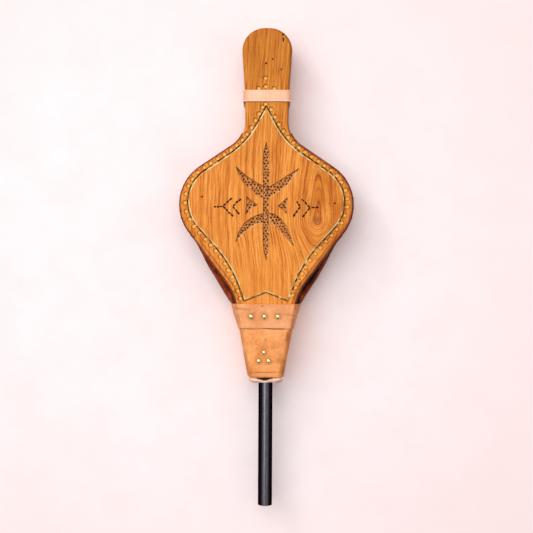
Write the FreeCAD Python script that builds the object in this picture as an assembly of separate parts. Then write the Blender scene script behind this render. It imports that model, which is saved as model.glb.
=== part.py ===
"""Hand bellows for a hearth: two pear-shaped boards, a folding leather side and an iron nozzle.

The bellows lies on its back. +Z points up out of the front board, +Y along the handles, +X to the right.
"""

import FreeCAD, Part
import math
import os

V = FreeCAD.Vector

# ---- driving dimensions, mm ----
BOARD_T = 12.7            # half-inch boards
CHAMBER = 19.0            # gap between the closed boards, and thickness of the nose block
LEATHER_T = 1.8           # hinge band and nose wrap
SKIN_T = 0.8              # thin leather of the folding side, where it laps the boards' edges
WELT_T = 0.6              # strip over the lap
STRAP_T = 1.2             # keeper strap
SNUG = 0.05               # leather laid on a board
FREE = 0.25               # gap between pieces that move apart

HANDLE_END_Y = 228.3
NOZZLE_TIP_Y = -232.5
HINGE_Y = -59.6
NOSE_END_Y = -107.0
BAND_TOP_Y = -36.0
WRAP_END_Y = -106.3
COLLAR_END_Y = -112.0

DOME_H = 2.0              # height of the domed brass tack heads
DOME_R = 3.1
SHANK_R = 0.7

# ---- heights, from the tack domes that the back rests on ----
Z_BACK_LEATHER = DOME_H
Z_BACK_OUT = Z_BACK_LEATHER + LEATHER_T + SNUG
Z_BACK_IN = Z_BACK_OUT + BOARD_T
Z_FRONT_IN = Z_BACK_IN + CHAMBER
Z_FRONT_OUT = Z_FRONT_IN + BOARD_T
Z_FRONT_LEATHER = Z_FRONT_OUT + SNUG + LEATHER_T
Z_MID = (Z_BACK_IN + Z_FRONT_IN) / 2

# ---- plan of a board: right-hand corners from handle to nose, as x, y, rounding radius ----
NOSE_TOP = (29.9, -25.0)
NOSE_TIP_HALF = 15.3
BOARD_CORNERS = [
    (25.4, HANDLE_END_Y, 21.7),      # end of the handle
    (21.1, 165.0, 200.0),            # waist of the handle
    (20.5, 123.8, 27.0),             # neck
    (101.1, 69.5, 42.8),             # shoulder, which rounds off at the widest place
    (*NOSE_TOP, 50.0),               # where the sides run in to the nose
]

# the folding side, where it meets the boards and along its middle fold
GUSSET_TOP_Y = 129.0
GUSSET_EDGE = [
    (22.1, GUSSET_TOP_Y, 0.8),
    (24.3, 122.2, 8.0),
    (83.4, 82.35, 43.0),
    (83.4, 44.68, 43.0),
    (30.8, -25.2, 49.0),
    (21.8, -75.0, 0.0),
]
GUSSET_FOLD = [
    (13.8, 117.0, 0.8),
    (16.0, 113.3, 6.0),
    (72.6, 75.16, 31.0),
    (72.6, 30.0, 22.0),
    (31.6, -36.0, 60.0),
    (19.0, -75.0, 0.0),
]
GUSSET_WALL = 1.3         # the same leather, measured level across its slope

# ---- carved border line of the front board ----
BORDER_CORNERS = [
    (0.0, 152.5, 0.0),
    (18.7, 118.2, 80.0),
    (93.1, 68.0, 35.6),
    (28.6, -4.7, 60.0),
    (21.0, -33.0, 0.0),
    (0.0, -24.6, 0.0),
]
BORDER_HALF_W = 1.05
BORDER_DEPTH = 1.1
CARVE_DEPTH = 0.7


# ---- plan outlines ----

def nose_half_width(y):
    """Half the width of the nose, which tapers evenly from the body to the tip."""
    share = (y - NOSE_END_Y) / (NOSE_TOP[1] - NOSE_END_Y)
    return NOSE_TIP_HALF + share * (NOSE_TOP[0] - NOSE_TIP_HALF)


def unit(a, b):
    length = math.hypot(b[0] - a[0], b[1] - a[1])
    return (b[0] - a[0]) / length, (b[1] - a[1]) / length


def grown(corners, grow):
    """The whole loop's corners, clockwise from the top, with every straight side moved out by grow."""
    loop = list(corners) + [(-x, y, r) for x, y, r in reversed(corners) if x > 0]
    moved = []
    for i, here in enumerate(loop):
        a = unit(loop[i - 1], here)
        b = unit(here, loop[(i + 1) % len(loop)])
        share = grow / (1 + a[0] * b[0] + a[1] * b[1])
        x = here[0] - (a[1] + b[1]) * share
        y = here[1] + (a[0] + b[0]) * share
        convex = a[0] * b[1] - a[1] * b[0] < 0
        radius = here[2] + (grow if convex else -grow)
        moved.append((x, y, radius if here[2] > 0 else 0.0))
    return moved


def loop_wire(corners, z, grow=0.0):
    """A closed wire of straight sides joined by tangent arcs, at height z."""
    loop = grown(corners, grow)
    runs = []
    for i, (x, y, radius) in enumerate(loop):
        a = unit(loop[i - 1], (x, y))
        b = unit((x, y), loop[(i + 1) % len(loop)])
        if radius <= 0:
            runs.append([V(x, y, z)])
            continue
        half_turn = math.acos(a[0] * b[0] + a[1] * b[1]) / 2
        back = radius * math.tan(half_turn)
        inward = unit(a, b)
        reach = radius / math.cos(half_turn) - radius
        runs.append([
            V(x - a[0] * back, y - a[1] * back, z),
            V(x + inward[0] * reach, y + inward[1] * reach, z),
            V(x + b[0] * back, y + b[1] * back, z),
        ])
    edges = []
    for i, run in enumerate(runs):
        if len(run) == 3:
            edges.append(Part.Arc(*run).toShape())
        edges.append(Part.makeLine(run[-1], runs[(i + 1) % len(runs)][0]))
    return Part.Wire(edges)


def prism(corners, z_low, z_high, grow=0.0):
    return Part.Face(loop_wire(corners, z_low, grow)).extrude(V(0, 0, z_high - z_low))


def box(x0, x1, y0, y1, z0, z1):
    return Part.makeBox(x1 - x0, y1 - y0, z1 - z0, V(x0, y0, z0))


def slab(y0, y1, z0, z1):
    """A box wider than the bellows, for cutting lengths and layers."""
    return box(-120, 120, y0, y1, z0, z1)


def rounded(solid, radius, keep):
    """The solid with the edges for which keep(middle of edge) is true rounded off."""
    edges = [e for e in solid.Edges if keep(e.valueAt((e.FirstParameter + e.LastParameter) / 2), e)]
    return solid.makeFillet(radius, edges)


# ---- sections across the nose, the band and the strap ----

def section(y, half_w, z_low, z_high, radius):
    """A rounded rectangle that stands across the bellows at y."""
    w, r = half_w, radius
    k = r * (1 - math.sqrt(0.5))
    corners = [
        (V(w, y, z_high - r), V(w - k, y, z_high - k), V(w - r, y, z_high)),
        (V(-w + r, y, z_high), V(-w + k, y, z_high - k), V(-w, y, z_high - r)),
        (V(-w, y, z_low + r), V(-w + k, y, z_low + k), V(-w + r, y, z_low)),
        (V(w - r, y, z_low), V(w - k, y, z_low + k), V(w, y, z_low + r)),
    ]
    edges = []
    for i, corner in enumerate(corners):
        edges.append(Part.Arc(*corner).toShape())
        edges.append(Part.makeLine(corner[2], corners[(i + 1) % 4][0]))
    return Part.Wire(edges)


def sleeve(ends, wall):
    """A tapered leather sleeve: ends are two inner sections, and the wall lies outside them."""
    inner = []
    outer = []
    for y, half_w, z_low, z_high, radius in ends:
        inner.append(section(y, half_w, z_low, z_high, radius))
        outer.append(section(y, half_w + wall, z_low - wall, z_high + wall, radius + wall))
    return Part.makeLoft(outer, True, True).cut(Part.makeLoft(inner, True, True))


# ---- tacks ----

def tack(at, toward, head_r, head_h, shank_r, shank_len):
    """A domed tack whose head sits at `at` and whose shank points along `toward`."""
    rise = (head_r ** 2 - head_h ** 2) / (2 * head_h)
    ball_r = rise + head_h
    lean = math.asin(head_r / ball_r) / 2
    middle = V(ball_r * math.sin(lean), 0, ball_r * math.cos(lean) - rise)
    dome = Part.Arc(V(head_r, 0, 0), middle, V(0, 0, head_h)).toShape()
    tip = 1.5 * shank_r
    profile = Part.Wire([
        dome,
        Part.makeLine(V(0, 0, head_h), V(0, 0, -shank_len)),
        Part.makeLine(V(0, 0, -shank_len), V(shank_r, 0, tip - shank_len)),
        Part.makeLine(V(shank_r, 0, tip - shank_len), V(shank_r, 0, 0)),
        Part.makeLine(V(shank_r, 0, 0), V(head_r, 0, 0)),
    ])
    turned = Part.Face(profile).revolve(V(0, 0, 0), V(0, 0, 1), 360)
    turned.Placement = FreeCAD.Placement(at, FreeCAD.Rotation(V(0, 0, -1), toward))
    return turned


def tacks_at(spots, toward, head_r, head_h, shank_r, shank_len):
    return [tack(V(*spot), toward, head_r, head_h, shank_r, shank_len) for spot in spots]


def without(solid, *groups):
    """The solid with holes for every piece of the groups."""
    return solid.cut([piece for group in groups for piece in group])


def edge_tacks(z):
    """Small flat tacks through welt and lap into a board's edge, evenly round the body."""
    outside = BOARD_CORNERS + [(nose_half_width(-50), -50.0, 0.0)]
    wire = loop_wire(outside, z, SKIN_T + SNUG + WELT_T)
    points = wire.discretize(Distance=2.0)
    pieces = []
    run = 0.0
    for before, here, after in zip(points, points[1:], points[2:]):
        run += here.distanceToPoint(before)
        on_body = here.x > 0 and -34 < here.y < 121
        if run < 19.0 or not on_body:
            continue
        run = 0.0
        along = (after - before).normalize()
        for side in (1, -1):
            inward = V(side * along.y, -along.x, 0)
            at = V(side * here.x, here.y, z)
            pieces.append(tack(at, inward, 2.1, 0.35, 0.6, 9.0))
    return pieces


# ---- the wooden nose, as one tapered body that is sliced into its three layers ----
NOSE_THINNING = 6.2       # how far each face has come in at the tip
NOSE_ROUNDING = 3.0


def nose_section_ends(y0, y1, extra=0.0):
    ends = []
    for y in (y0, y1):
        inset = NOSE_THINNING * (HINGE_Y - y) / (HINGE_Y - NOSE_END_Y)
        ends.append((
            y,
            nose_half_width(y) + extra,
            Z_BACK_OUT + inset - extra,
            Z_FRONT_OUT - inset + extra,
            NOSE_ROUNDING + extra,
        ))
    return ends


NOSE_FACE_Y = HINGE_Y - 0.2
nose = Part.makeLoft([section(*end) for end in nose_section_ends(NOSE_FACE_Y, NOSE_END_Y)], True, True)

# ---- nozzle: thin-walled iron pipe; the tail that is driven into the block is turned down a little ----
PIPE_R = 6.85
PIPE_TAIL_R = 6.6
PIPE_BORE_R = 4.6
PIPE_TAIL_END_Y = -62.0


def rod(radius, y0, y1):
    return Part.makeCylinder(radius, y1 - y0, V(0, y0, Z_MID), V(0, 1, 0))


pipe = rod(PIPE_R, NOZZLE_TIP_Y, COLLAR_END_Y - 0.2)
pipe = pipe.fuse(rod(PIPE_TAIL_R, COLLAR_END_Y - 0.2, PIPE_TAIL_END_Y))
pipe = rounded(pipe, 0.6, lambda p, e: abs(p.y - NOZZLE_TIP_Y) < 0.01)
pipe = pipe.cut(rod(PIPE_BORE_R, NOZZLE_TIP_Y - 1, PIPE_TAIL_END_Y + 1))

bore = rod(PIPE_TAIL_R + SNUG, NOSE_END_Y - 10, HINGE_Y + 10)
nose_block = nose.common(slab(-200, 0, Z_BACK_IN, Z_FRONT_IN)).cut(bore)
nose_cap = nose.common(slab(-200, 0, Z_FRONT_IN, 100))
tongue = nose.common(slab(-200, 0, -10, Z_BACK_IN))

# ---- boards ----
EDGE_ROUNDING = 3.0
SIDE_ARRIS = 0.8


def board(z_low, z_high, end_y, outer_z):
    """A board down to end_y, its outer rim well rounded and its inner rim just eased."""
    corners = BOARD_CORNERS + [(nose_half_width(end_y), end_y, 0.0)]
    plate = prism(corners, z_low, z_high)

    def on_rim(z):
        return lambda p, e: abs(p.z - z) < 0.01 and p.y > end_y + 0.05

    plate = rounded(plate, EDGE_ROUNDING, on_rim(outer_z))
    inner_z = z_low + z_high - outer_z
    handle_rim = (lambda p, e: abs(p.z - inner_z) < 0.01 and p.y > GUSSET_TOP_Y + 8)
    return rounded(plate, SIDE_ARRIS, handle_rim)


INLET_Y = 45.0
INLET_R = 13.0

front_board = board(Z_FRONT_IN, Z_FRONT_OUT, HINGE_Y + 0.2, Z_FRONT_OUT)
back_board = board(Z_BACK_OUT, Z_BACK_IN, NOSE_FACE_Y, Z_BACK_OUT).fuse(tongue).removeSplitter()
back_board = back_board.cut(Part.makeCylinder(INLET_R, 60, V(0, INLET_Y, -10)))

# carved border: a V-shaped line that follows the edge
top = Z_FRONT_OUT
floor = top - BORDER_DEPTH
rim_out = [loop_wire(BORDER_CORNERS, top, BORDER_HALF_W), loop_wire(BORDER_CORNERS, floor, 0.1)]
rim_in = [loop_wire(BORDER_CORNERS, top, -BORDER_HALF_W), loop_wire(BORDER_CORNERS, floor, -0.1)]
front_board = front_board.cut(
    Part.makeLoft(rim_out, True, True).cut(Part.makeLoft(rim_in, True, True))
)


def pocket(points):
    """A shallow sunk panel with straight sides."""
    ring = [V(x, y, top - CARVE_DEPTH) for x, y in points]
    return Part.Face(Part.makePolygon(ring + ring[:1])).extrude(V(0, 0, 2 * CARVE_DEPTH))


def mirrored(points):
    return [(-x, y) for x, y in points]


# carved ornament: a long spear crossed by four leaves, with two small darts. It is cut by hand, so the two
# sides aren't quite alike
spear = [(0, 118.5), (2.6, 111), (3.7, 99), (3.4, 86), (3.2, 76), (3.2, 52), (3.4, 40), (3.4, 24), (2.6, 15),
         (0, 8)]
carving = [
    spear + mirrored(list(reversed(spear[1:-1]))),
    [(-29.3, 95.6), (-19.3, 87.0), (-12.0, 82.0), (-3.0, 76.2), (-3.0, 63.6), (-6.7, 66.3), (-14.7, 72.3),
     (-21.3, 78.3), (-27.0, 88.5)],
    [(29.8, 93.4), (19.9, 87.0), (11.9, 81.4), (3.0, 75.2), (3.0, 64.8), (5.3, 66.6), (14.5, 72.9),
     (22.5, 79.6), (26.5, 86.0)],
    [(-29.0, 24.7), (-26.6, 33.1), (-21.3, 41.1), (-14.7, 46.4), (-6.7, 50.0), (-3.0, 50.8), (-3.0, 42.2),
     (-9.4, 39.7), (-16.0, 35.8), (-23.3, 29.1)],
    [(26.2, 21.5), (23.4, 29.6), (19.9, 38.4), (14.5, 45.4), (7.9, 50.2), (3.0, 51.6), (3.0, 41.9),
     (7.9, 39.1), (13.2, 34.4), (18.5, 27.8)],
    [(-18.9, 66.6), (-8.9, 59.0), (-19.7, 51.2)],
    [(19.2, 66.4), (10.9, 58.8), (18.7, 51.6)],
]
front_board = front_board.cut([pocket(points) for points in carving])

# ---- hinge: a leather strip let in across the cut, close under the outer face ----
STRIP_T = 1.4
STRIP_HALF_LEN = 7.0
STRIP_HALF_W = 18.0
strip_top = Z_FRONT_OUT - 1.3
hinge_strip = box(-STRIP_HALF_W, STRIP_HALF_W, HINGE_Y - STRIP_HALF_LEN, HINGE_Y + STRIP_HALF_LEN,
                  strip_top - STRIP_T, strip_top)
strip_pocket = box(-STRIP_HALF_W - 0.1, STRIP_HALF_W + 0.1,
                   HINGE_Y - STRIP_HALF_LEN - 0.1, HINGE_Y + STRIP_HALF_LEN + 0.1,
                   strip_top - STRIP_T - SNUG, 100)
front_board = front_board.cut(strip_pocket)
nose_cap = nose_cap.cut(strip_pocket)
STRIP_TACK_X = (-13, 0, 13)
strip_tacks_board = tacks_at([(x, HINGE_Y + 4, strip_top) for x in STRIP_TACK_X],
                             V(0, 0, -1), 1.6, 0.3, 0.5, 7)
strip_tacks_nose = tacks_at([(x, HINGE_Y - 4, strip_top) for x in STRIP_TACK_X],
                            V(0, 0, -1), 1.6, 0.3, 0.5, 7)

# ---- folding leather side ----
Z_LAP_LOW = Z_BACK_IN - 8.5
Z_LAP_HIGH = Z_FRONT_IN + 8.5


def fold_solid(grow):
    """The space inside the folding side: full at both boards, drawn in or out at the middle fold."""
    wires = [
        loop_wire(GUSSET_EDGE, Z_BACK_IN, grow),
        loop_wire(GUSSET_FOLD, Z_MID, grow),
        loop_wire(GUSSET_EDGE, Z_FRONT_IN, grow),
    ]
    return Part.makeLoft(wires, True, True)


body_plan = BOARD_CORNERS + [(nose_half_width(-70), -70.0, 0.0)]


def edge_strip(z_low, z_high, inner, outer, y_low, y_high):
    """Leather laid on a board's edge, between two distances out from the wood."""
    ring = prism(body_plan, z_low, z_high, outer).cut(prism(body_plan, z_low, z_high, inner))
    return ring.common(slab(y_low, y_high, z_low, z_high))


gusset = fold_solid(0.0).cut(fold_solid(-GUSSET_WALL)).cut(slab(-150, HINGE_Y + 0.2, 0, 80))
gusset = gusset.fuse([
    edge_strip(Z_LAP_LOW, Z_BACK_IN, SNUG, SKIN_T, HINGE_Y + 0.2, GUSSET_TOP_Y),
    edge_strip(Z_FRONT_IN, Z_LAP_HIGH, SNUG, SKIN_T, HINGE_Y + 0.2, GUSSET_TOP_Y),
])
gusset = gusset.removeSplitter()

WELT_LOW = 1.5            # welt's near edge, from the board's inner face
WELT_HIGH = 6.5
WELT_END_Y = -45.0
welt_in = SKIN_T + SNUG
welt_out = welt_in + WELT_T
front_welt = edge_strip(Z_FRONT_IN + WELT_LOW, Z_FRONT_IN + WELT_HIGH, welt_in, welt_out,
                        WELT_END_Y, GUSSET_TOP_Y - 1.5)
back_welt = edge_strip(Z_BACK_IN - WELT_HIGH, Z_BACK_IN - WELT_LOW, welt_in, welt_out,
                       WELT_END_Y, GUSSET_TOP_Y - 1.5)
front_edge_tacks = edge_tacks(Z_FRONT_IN + (WELT_LOW + WELT_HIGH) / 2)
back_edge_tacks = edge_tacks(Z_BACK_IN - (WELT_LOW + WELT_HIGH) / 2)

# ---- hinge band, round both boards and the ends of the folding side ----
BAND_TOP_HALF = 32.3
BAND_LOW_HALF = 24.9
band_z = (Z_BACK_OUT - SNUG, Z_FRONT_OUT + SNUG)
hinge_band = sleeve([
    (BAND_TOP_Y, BAND_TOP_HALF, *band_z, 4.0),
    (HINGE_Y, BAND_LOW_HALF, *band_z, 4.0),
], LEATHER_T)
BAND_TACK_Y = -48.0
BAND_TACK_X = (-14.1, -1.4, 11.6)
band_tacks_front = tacks_at([(x, BAND_TACK_Y, Z_FRONT_LEATHER) for x in BAND_TACK_X],
                            V(0, 0, -1), DOME_R, DOME_H, SHANK_R, 10)
band_tacks_back = tacks_at([(x, BAND_TACK_Y, Z_BACK_LEATHER) for x in BAND_TACK_X],
                           V(0, 0, 1), DOME_R, DOME_H, SHANK_R, 10)

# ---- nose wrap, on the sloping faces of the nose ----
nose_wrap = sleeve(nose_section_ends(HINGE_Y - 0.4, WRAP_END_Y, SNUG), LEATHER_T)
WRAP_TACK_SPOTS = ((-1.7, -82.3), (-6.5, -90.6), (3.0, -90.6))
slope = math.atan2(NOSE_THINNING, HINGE_Y - NOSE_END_Y)
into_nose = V(0, -math.sin(slope), -math.cos(slope))


def wrap_face_z(y):
    """Height of the wrap's outer face above the middle of the nose."""
    inset = NOSE_THINNING * (HINGE_Y - y) / (HINGE_Y - NOSE_END_Y)
    return Z_FRONT_OUT - inset + SNUG + LEATHER_T - Z_MID


# the faces fall towards the tip, so the tacks lean with them
wrap_tacks_front = []
wrap_tacks_back = []
for x, y in WRAP_TACK_SPOTS:
    rise = wrap_face_z(y)
    wrap_tacks_front.append(tack(V(x, y, Z_MID + rise), into_nose, 2.75, 1.8, 0.6, 9))
    wrap_tacks_back.append(tack(V(x, y, Z_MID - rise), V(0, into_nose.y, -into_nose.z), 2.75, 1.8, 0.6, 9))

# ---- collar: leather plug between the end of the nose and the pipe ----
collar_high = Z_FRONT_OUT - NOSE_THINNING - 0.6
collar_low = Z_BACK_OUT + NOSE_THINNING + 0.6
nose_collar = Part.makeLoft([
    section(NOSE_END_Y, NOSE_TIP_HALF + 0.6, collar_low, collar_high, 4.0),
    section(COLLAR_END_Y, NOSE_TIP_HALF + 0.2, collar_low + 0.6, collar_high - 0.6, 5.0),
], True, True).cut(bore)
nose_collar = nose_collar.cut(rod(PIPE_TAIL_R + SNUG, COLLAR_END_Y - 5, NOSE_END_Y + 5))

# ---- valve on the inner face of the back board ----
FLAP_T = 1.6
FLAP_HALF_W = 19.0
FLAP_LOW_Y = 24.0
FLAP_HINGE_Y = 66.15
z_in = Z_BACK_IN
valve_flap = box(-FLAP_HALF_W, FLAP_HALF_W, FLAP_LOW_Y, FLAP_HINGE_Y - 0.15, z_in + 0.3, z_in + 0.3 + FLAP_T)
valve_flap = rounded(valve_flap, 5.0,
                     lambda p, e: abs(p.y - FLAP_LOW_Y) < 0.01 and abs(e.Length - FLAP_T) < 0.01)
valve_tab = box(-FLAP_HALF_W, FLAP_HALF_W, FLAP_HINGE_Y + 0.15, 78.0, z_in, z_in + FLAP_T + 0.3)
tab_tacks = tacks_at([(x, 72.5, z_in + FLAP_T + 0.3) for x in (-14, -4.7, 4.7, 14)],
                     V(0, 0, -1), 2.4, 1.2, 0.6, 8)

STOP_Y = (36.0, 44.0)
STOP_T = 1.4
STOP_Z = z_in + 13.3      # underside of the arch, just clear of the open flap
foot_far, foot_near, arch_half = 34.0, 24.0, 20.6
stop_outline = [
    (foot_far, z_in), (foot_near, z_in), (arch_half, STOP_Z), (-arch_half, STOP_Z), (-foot_near, z_in),
    (-foot_far, z_in), (-foot_far, z_in + STOP_T), (-foot_near - 1.0, z_in + STOP_T),
    (-arch_half - 0.9, STOP_Z + STOP_T), (arch_half + 0.9, STOP_Z + STOP_T),
    (foot_near + 1.0, z_in + STOP_T), (foot_far, z_in + STOP_T),
]
stop_ring = [V(x, STOP_Y[0], z) for x, z in stop_outline]
valve_stop = Part.Face(Part.makePolygon(stop_ring + stop_ring[:1])).extrude(V(0, STOP_Y[1] - STOP_Y[0], 0))
stop_tacks = tacks_at([(x, 40.0, z_in + STOP_T) for x in (-29.8, 29.8)], V(0, 0, -1), 2.4, 1.2, 0.6, 8)

# ---- keeper strap round both handles, lapped and riveted behind ----
STRAP_LOW_Y = 157.5
STRAP_HIGH_Y = 168.5
STRAP_HALF = 21.75        # inside, just clear of the handles
strap_inner_z = (Z_BACK_OUT - FREE, Z_FRONT_OUT + FREE)
keeper_strap = sleeve([
    (STRAP_LOW_Y, STRAP_HALF, *strap_inner_z, 2.4),
    (STRAP_HIGH_Y, STRAP_HALF, *strap_inner_z, 2.4),
], STRAP_T)
strap_back = Z_BACK_OUT - FREE - STRAP_T
keeper_strap = keeper_strap.fuse(box(-16, 16, STRAP_LOW_Y, STRAP_HIGH_Y, strap_back - STRAP_T, strap_back))
rivet_z = strap_back - STRAP_T
keeper_rivets = []
for x in (-9.0, 9.0):
    spot = V(x, (STRAP_LOW_Y + STRAP_HIGH_Y) / 2, rivet_z)
    head = tack(spot, V(0, 0, 1), 3.2, rivet_z, 1.3, 2 * STRAP_T + 2.0)
    keeper_rivets.append(head.common(box(-40, 40, 100, 200, -1, Z_BACK_OUT - FREE)))

# ---- every tack and rivet gets its hole ----
front_board = without(front_board, front_edge_tacks, band_tacks_front, strip_tacks_board)
back_board = without(back_board, back_edge_tacks, band_tacks_back, wrap_tacks_back, tab_tacks, stop_tacks)
nose_cap = without(nose_cap, wrap_tacks_front, strip_tacks_nose)
nose_block = without(nose_block, wrap_tacks_front, wrap_tacks_back)
gusset = without(gusset, front_edge_tacks, back_edge_tacks)
front_welt = without(front_welt, front_edge_tacks)
back_welt = without(back_welt, back_edge_tacks)
hinge_band = without(hinge_band, band_tacks_front, band_tacks_back)
hinge_strip = without(hinge_strip, strip_tacks_board, strip_tacks_nose)
nose_wrap = without(nose_wrap, wrap_tacks_front, wrap_tacks_back)
valve_tab = without(valve_tab, tab_tacks)
valve_stop = without(valve_stop, stop_tacks)
keeper_strap = without(keeper_strap, keeper_rivets)

NODES = {
    "front_board": front_board,
    "back_board": back_board,
    "nose_block": nose_block,
    "nose_cap": nose_cap,
    "nozzle_pipe": pipe,
    "nose_wrap": nose_wrap,
    "nose_collar": nose_collar,
    "hinge_band": hinge_band,
    "hinge_strip": hinge_strip,
    "hinge_strip_tacks_board": strip_tacks_board,
    "hinge_strip_tacks_nose": strip_tacks_nose,
    "hinge_band_tacks_front": band_tacks_front,
    "hinge_band_tacks_back": band_tacks_back,
    "nose_wrap_tacks_front": wrap_tacks_front,
    "nose_wrap_tacks_back": wrap_tacks_back,
    "gusset": gusset,
    "front_welt": front_welt,
    "back_welt": back_welt,
    "front_edge_tacks": front_edge_tacks,
    "back_edge_tacks": back_edge_tacks,
    "valve_flap": valve_flap,
    "valve_flap_tab": valve_tab,
    "valve_flap_tacks": tab_tacks,
    "valve_stop_strap": valve_stop,
    "valve_stop_tacks": stop_tacks,
    "keeper_strap": keeper_strap,
    "keeper_rivets": keeper_rivets,
}

# the origin is midway between the handle ends and the nozzle's tip
to_middle = V(0, -(HANDLE_END_Y + NOZZLE_TIP_Y) / 2, 0)

os.makedirs("parts", exist_ok=True)
for name, shape in NODES.items():
    if isinstance(shape, list):
        shape = Part.makeCompound(shape)
    elif len(shape.Solids) == 1:
        shape = shape.Solids[0]
    shape.translated(to_middle).exportStep("parts/" + name + ".step")
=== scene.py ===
"""Looks of the hand bellows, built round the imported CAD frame.

Shapes are drawn in millimetres, on the same plan as the boards' CAD. new_object moves them to the row frame,
in metres, by SHIFT_Y. The floor, the lights and the camera are placed in the row frame.
"""
import math

import bmesh
import bpy
import numpy as np
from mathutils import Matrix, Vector
from mathutils.geometry import delaunay_2d_cdt


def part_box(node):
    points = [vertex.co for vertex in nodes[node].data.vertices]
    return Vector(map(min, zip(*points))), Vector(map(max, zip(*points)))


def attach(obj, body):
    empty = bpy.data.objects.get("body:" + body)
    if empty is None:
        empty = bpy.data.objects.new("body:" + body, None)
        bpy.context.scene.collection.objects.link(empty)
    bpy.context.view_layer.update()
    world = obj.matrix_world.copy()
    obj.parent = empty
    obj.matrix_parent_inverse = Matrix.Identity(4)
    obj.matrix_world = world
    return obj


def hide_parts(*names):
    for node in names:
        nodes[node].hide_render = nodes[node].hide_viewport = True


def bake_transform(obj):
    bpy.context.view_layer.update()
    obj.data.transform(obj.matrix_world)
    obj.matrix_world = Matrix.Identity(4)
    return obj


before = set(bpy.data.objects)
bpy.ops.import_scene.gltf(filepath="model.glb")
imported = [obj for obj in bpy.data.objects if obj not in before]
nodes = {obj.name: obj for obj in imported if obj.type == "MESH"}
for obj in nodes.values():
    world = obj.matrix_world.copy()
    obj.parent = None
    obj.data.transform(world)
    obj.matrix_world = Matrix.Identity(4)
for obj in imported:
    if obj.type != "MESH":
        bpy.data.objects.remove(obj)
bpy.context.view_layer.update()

rng = np.random.default_rng(11)

# ---- the drawing ----
HANDLE_END_Y = 228.3
SHIFT_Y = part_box("front_board")[1].y * 1000 - HANDLE_END_Y
HINGE_Y = -59.6
NOSE_END_Y = -107.0
NOSE_TOP = (29.9, -25.0)
NOSE_TIP_HALF = 15.3
Z_BACK_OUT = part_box("back_board")[0].z * 1000
Z_BACK_IN = Z_BACK_OUT + 12.7
Z_FRONT_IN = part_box("front_board")[0].z * 1000
Z_FRONT_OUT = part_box("front_board")[1].z * 1000
Z_MID = (Z_BACK_IN + Z_FRONT_IN) / 2

# corners of each symmetric plan, from the top down its right side: x, y, corner radius
BOARD = [(25.4, HANDLE_END_Y, 21.7), (21.1, 165.0, 200.0), (20.5, 123.8, 27.0), (101.1, 69.5, 42.8),
         (*NOSE_TOP, 50.0)]
BORDER = [(0.0, 152.5, 0.0), (18.7, 118.2, 80.0), (93.1, 68.0, 35.6), (32.8, 1.4, 124.0), (21.0, -33.0, 0.0),
          (0.0, -24.6, 0.0)]
GUSSET_EDGE = [(22.1, 129.0, 0.8), (24.3, 122.2, 8.0), (83.4, 82.35, 43.0), (83.4, 44.68, 43.0),
               (30.8, -25.2, 49.0), (21.8, -75.0, 0.0)]
GUSSET_FOLD = [(13.8, 117.0, 0.8), (16.0, 113.3, 6.0), (72.6, 75.16, 31.0), (72.6, 30.0, 22.0),
               (31.6, -36.0, 60.0), (19.0, -75.0, 0.0)]


def nose_half(y):
    share = (y - NOSE_END_Y) / (NOSE_TOP[1] - NOSE_END_Y)
    return NOSE_TIP_HALF + share * (NOSE_TOP[0] - NOSE_TIP_HALF)


def unit(a, b):
    length = math.hypot(b[0] - a[0], b[1] - a[1])
    return (b[0] - a[0]) / length, (b[1] - a[1]) / length


def between(p, q, count):
    """The points that divide a line into count parts, without its ends."""
    return [(p[0] + (q[0] - p[0]) * k / count, p[1] + (q[1] - p[1]) * k / count) for k in range(1, count)]


def grown(corners, grow):
    """Corners of the whole loop, clockwise from the top, each side moved out by grow."""
    loop = list(corners) + [(-x, y, r) for x, y, r in reversed(corners) if x > 0]
    moved = []
    for i, (x, y, radius) in enumerate(loop):
        a = unit(loop[i - 1], (x, y))
        b = unit((x, y), loop[(i + 1) % len(loop)])
        share = grow / (1 + a[0] * b[0] + a[1] * b[1])
        convex = a[0] * b[1] - a[1] * b[0] < 0
        wider = max(radius + (grow if convex else -grow), 0.05) if radius > 0 else 0.0
        moved.append((x - (a[1] + b[1]) * share, y + (a[0] + b[0]) * share, wider))
    return moved


def loop_points(corners, step, grow=0.0, arc_counts=None, line_counts=None):
    """Points of the closed loop, about step apart, or with a given number on each arc and line."""
    loop = grown(corners, grow)
    runs = []
    for i, (x, y, radius) in enumerate(loop):
        a = unit(loop[i - 1], (x, y))
        b = unit((x, y), loop[(i + 1) % len(loop)])
        if radius <= 0:
            runs.append([(x, y)])
            continue
        half = math.acos(max(-1.0, min(1.0, a[0] * b[0] + a[1] * b[1]))) / 2
        back = radius * math.tan(half)
        side = -1 if a[0] * b[1] - a[1] * b[0] < 0 else 1
        dx, dy = a[1] * radius * side, -a[0] * radius * side
        cx, cy = x - a[0] * back - dx, y - a[1] * back - dy
        count = arc_counts[i] if arc_counts else max(3, int(math.ceil(2 * half * radius / step)))
        turns = [side * 2 * half * k / count for k in range(count + 1)]
        runs.append([(cx + dx * math.cos(t) - dy * math.sin(t), cy + dx * math.sin(t) + dy * math.cos(t))
                     for t in turns])
    points = []
    for i, run in enumerate(runs):
        p, q = run[-1], runs[(i + 1) % len(runs)][0]
        length = math.hypot(q[0] - p[0], q[1] - p[1])
        count = line_counts[i] if line_counts else max(1, int(math.ceil(length / step)))
        points += run + between(p, q, count)
    return np.array(points)


# ---- numeric helpers ----
AT_ONCE = 1500  # rows worked on together, which keeps the arrays small


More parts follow.
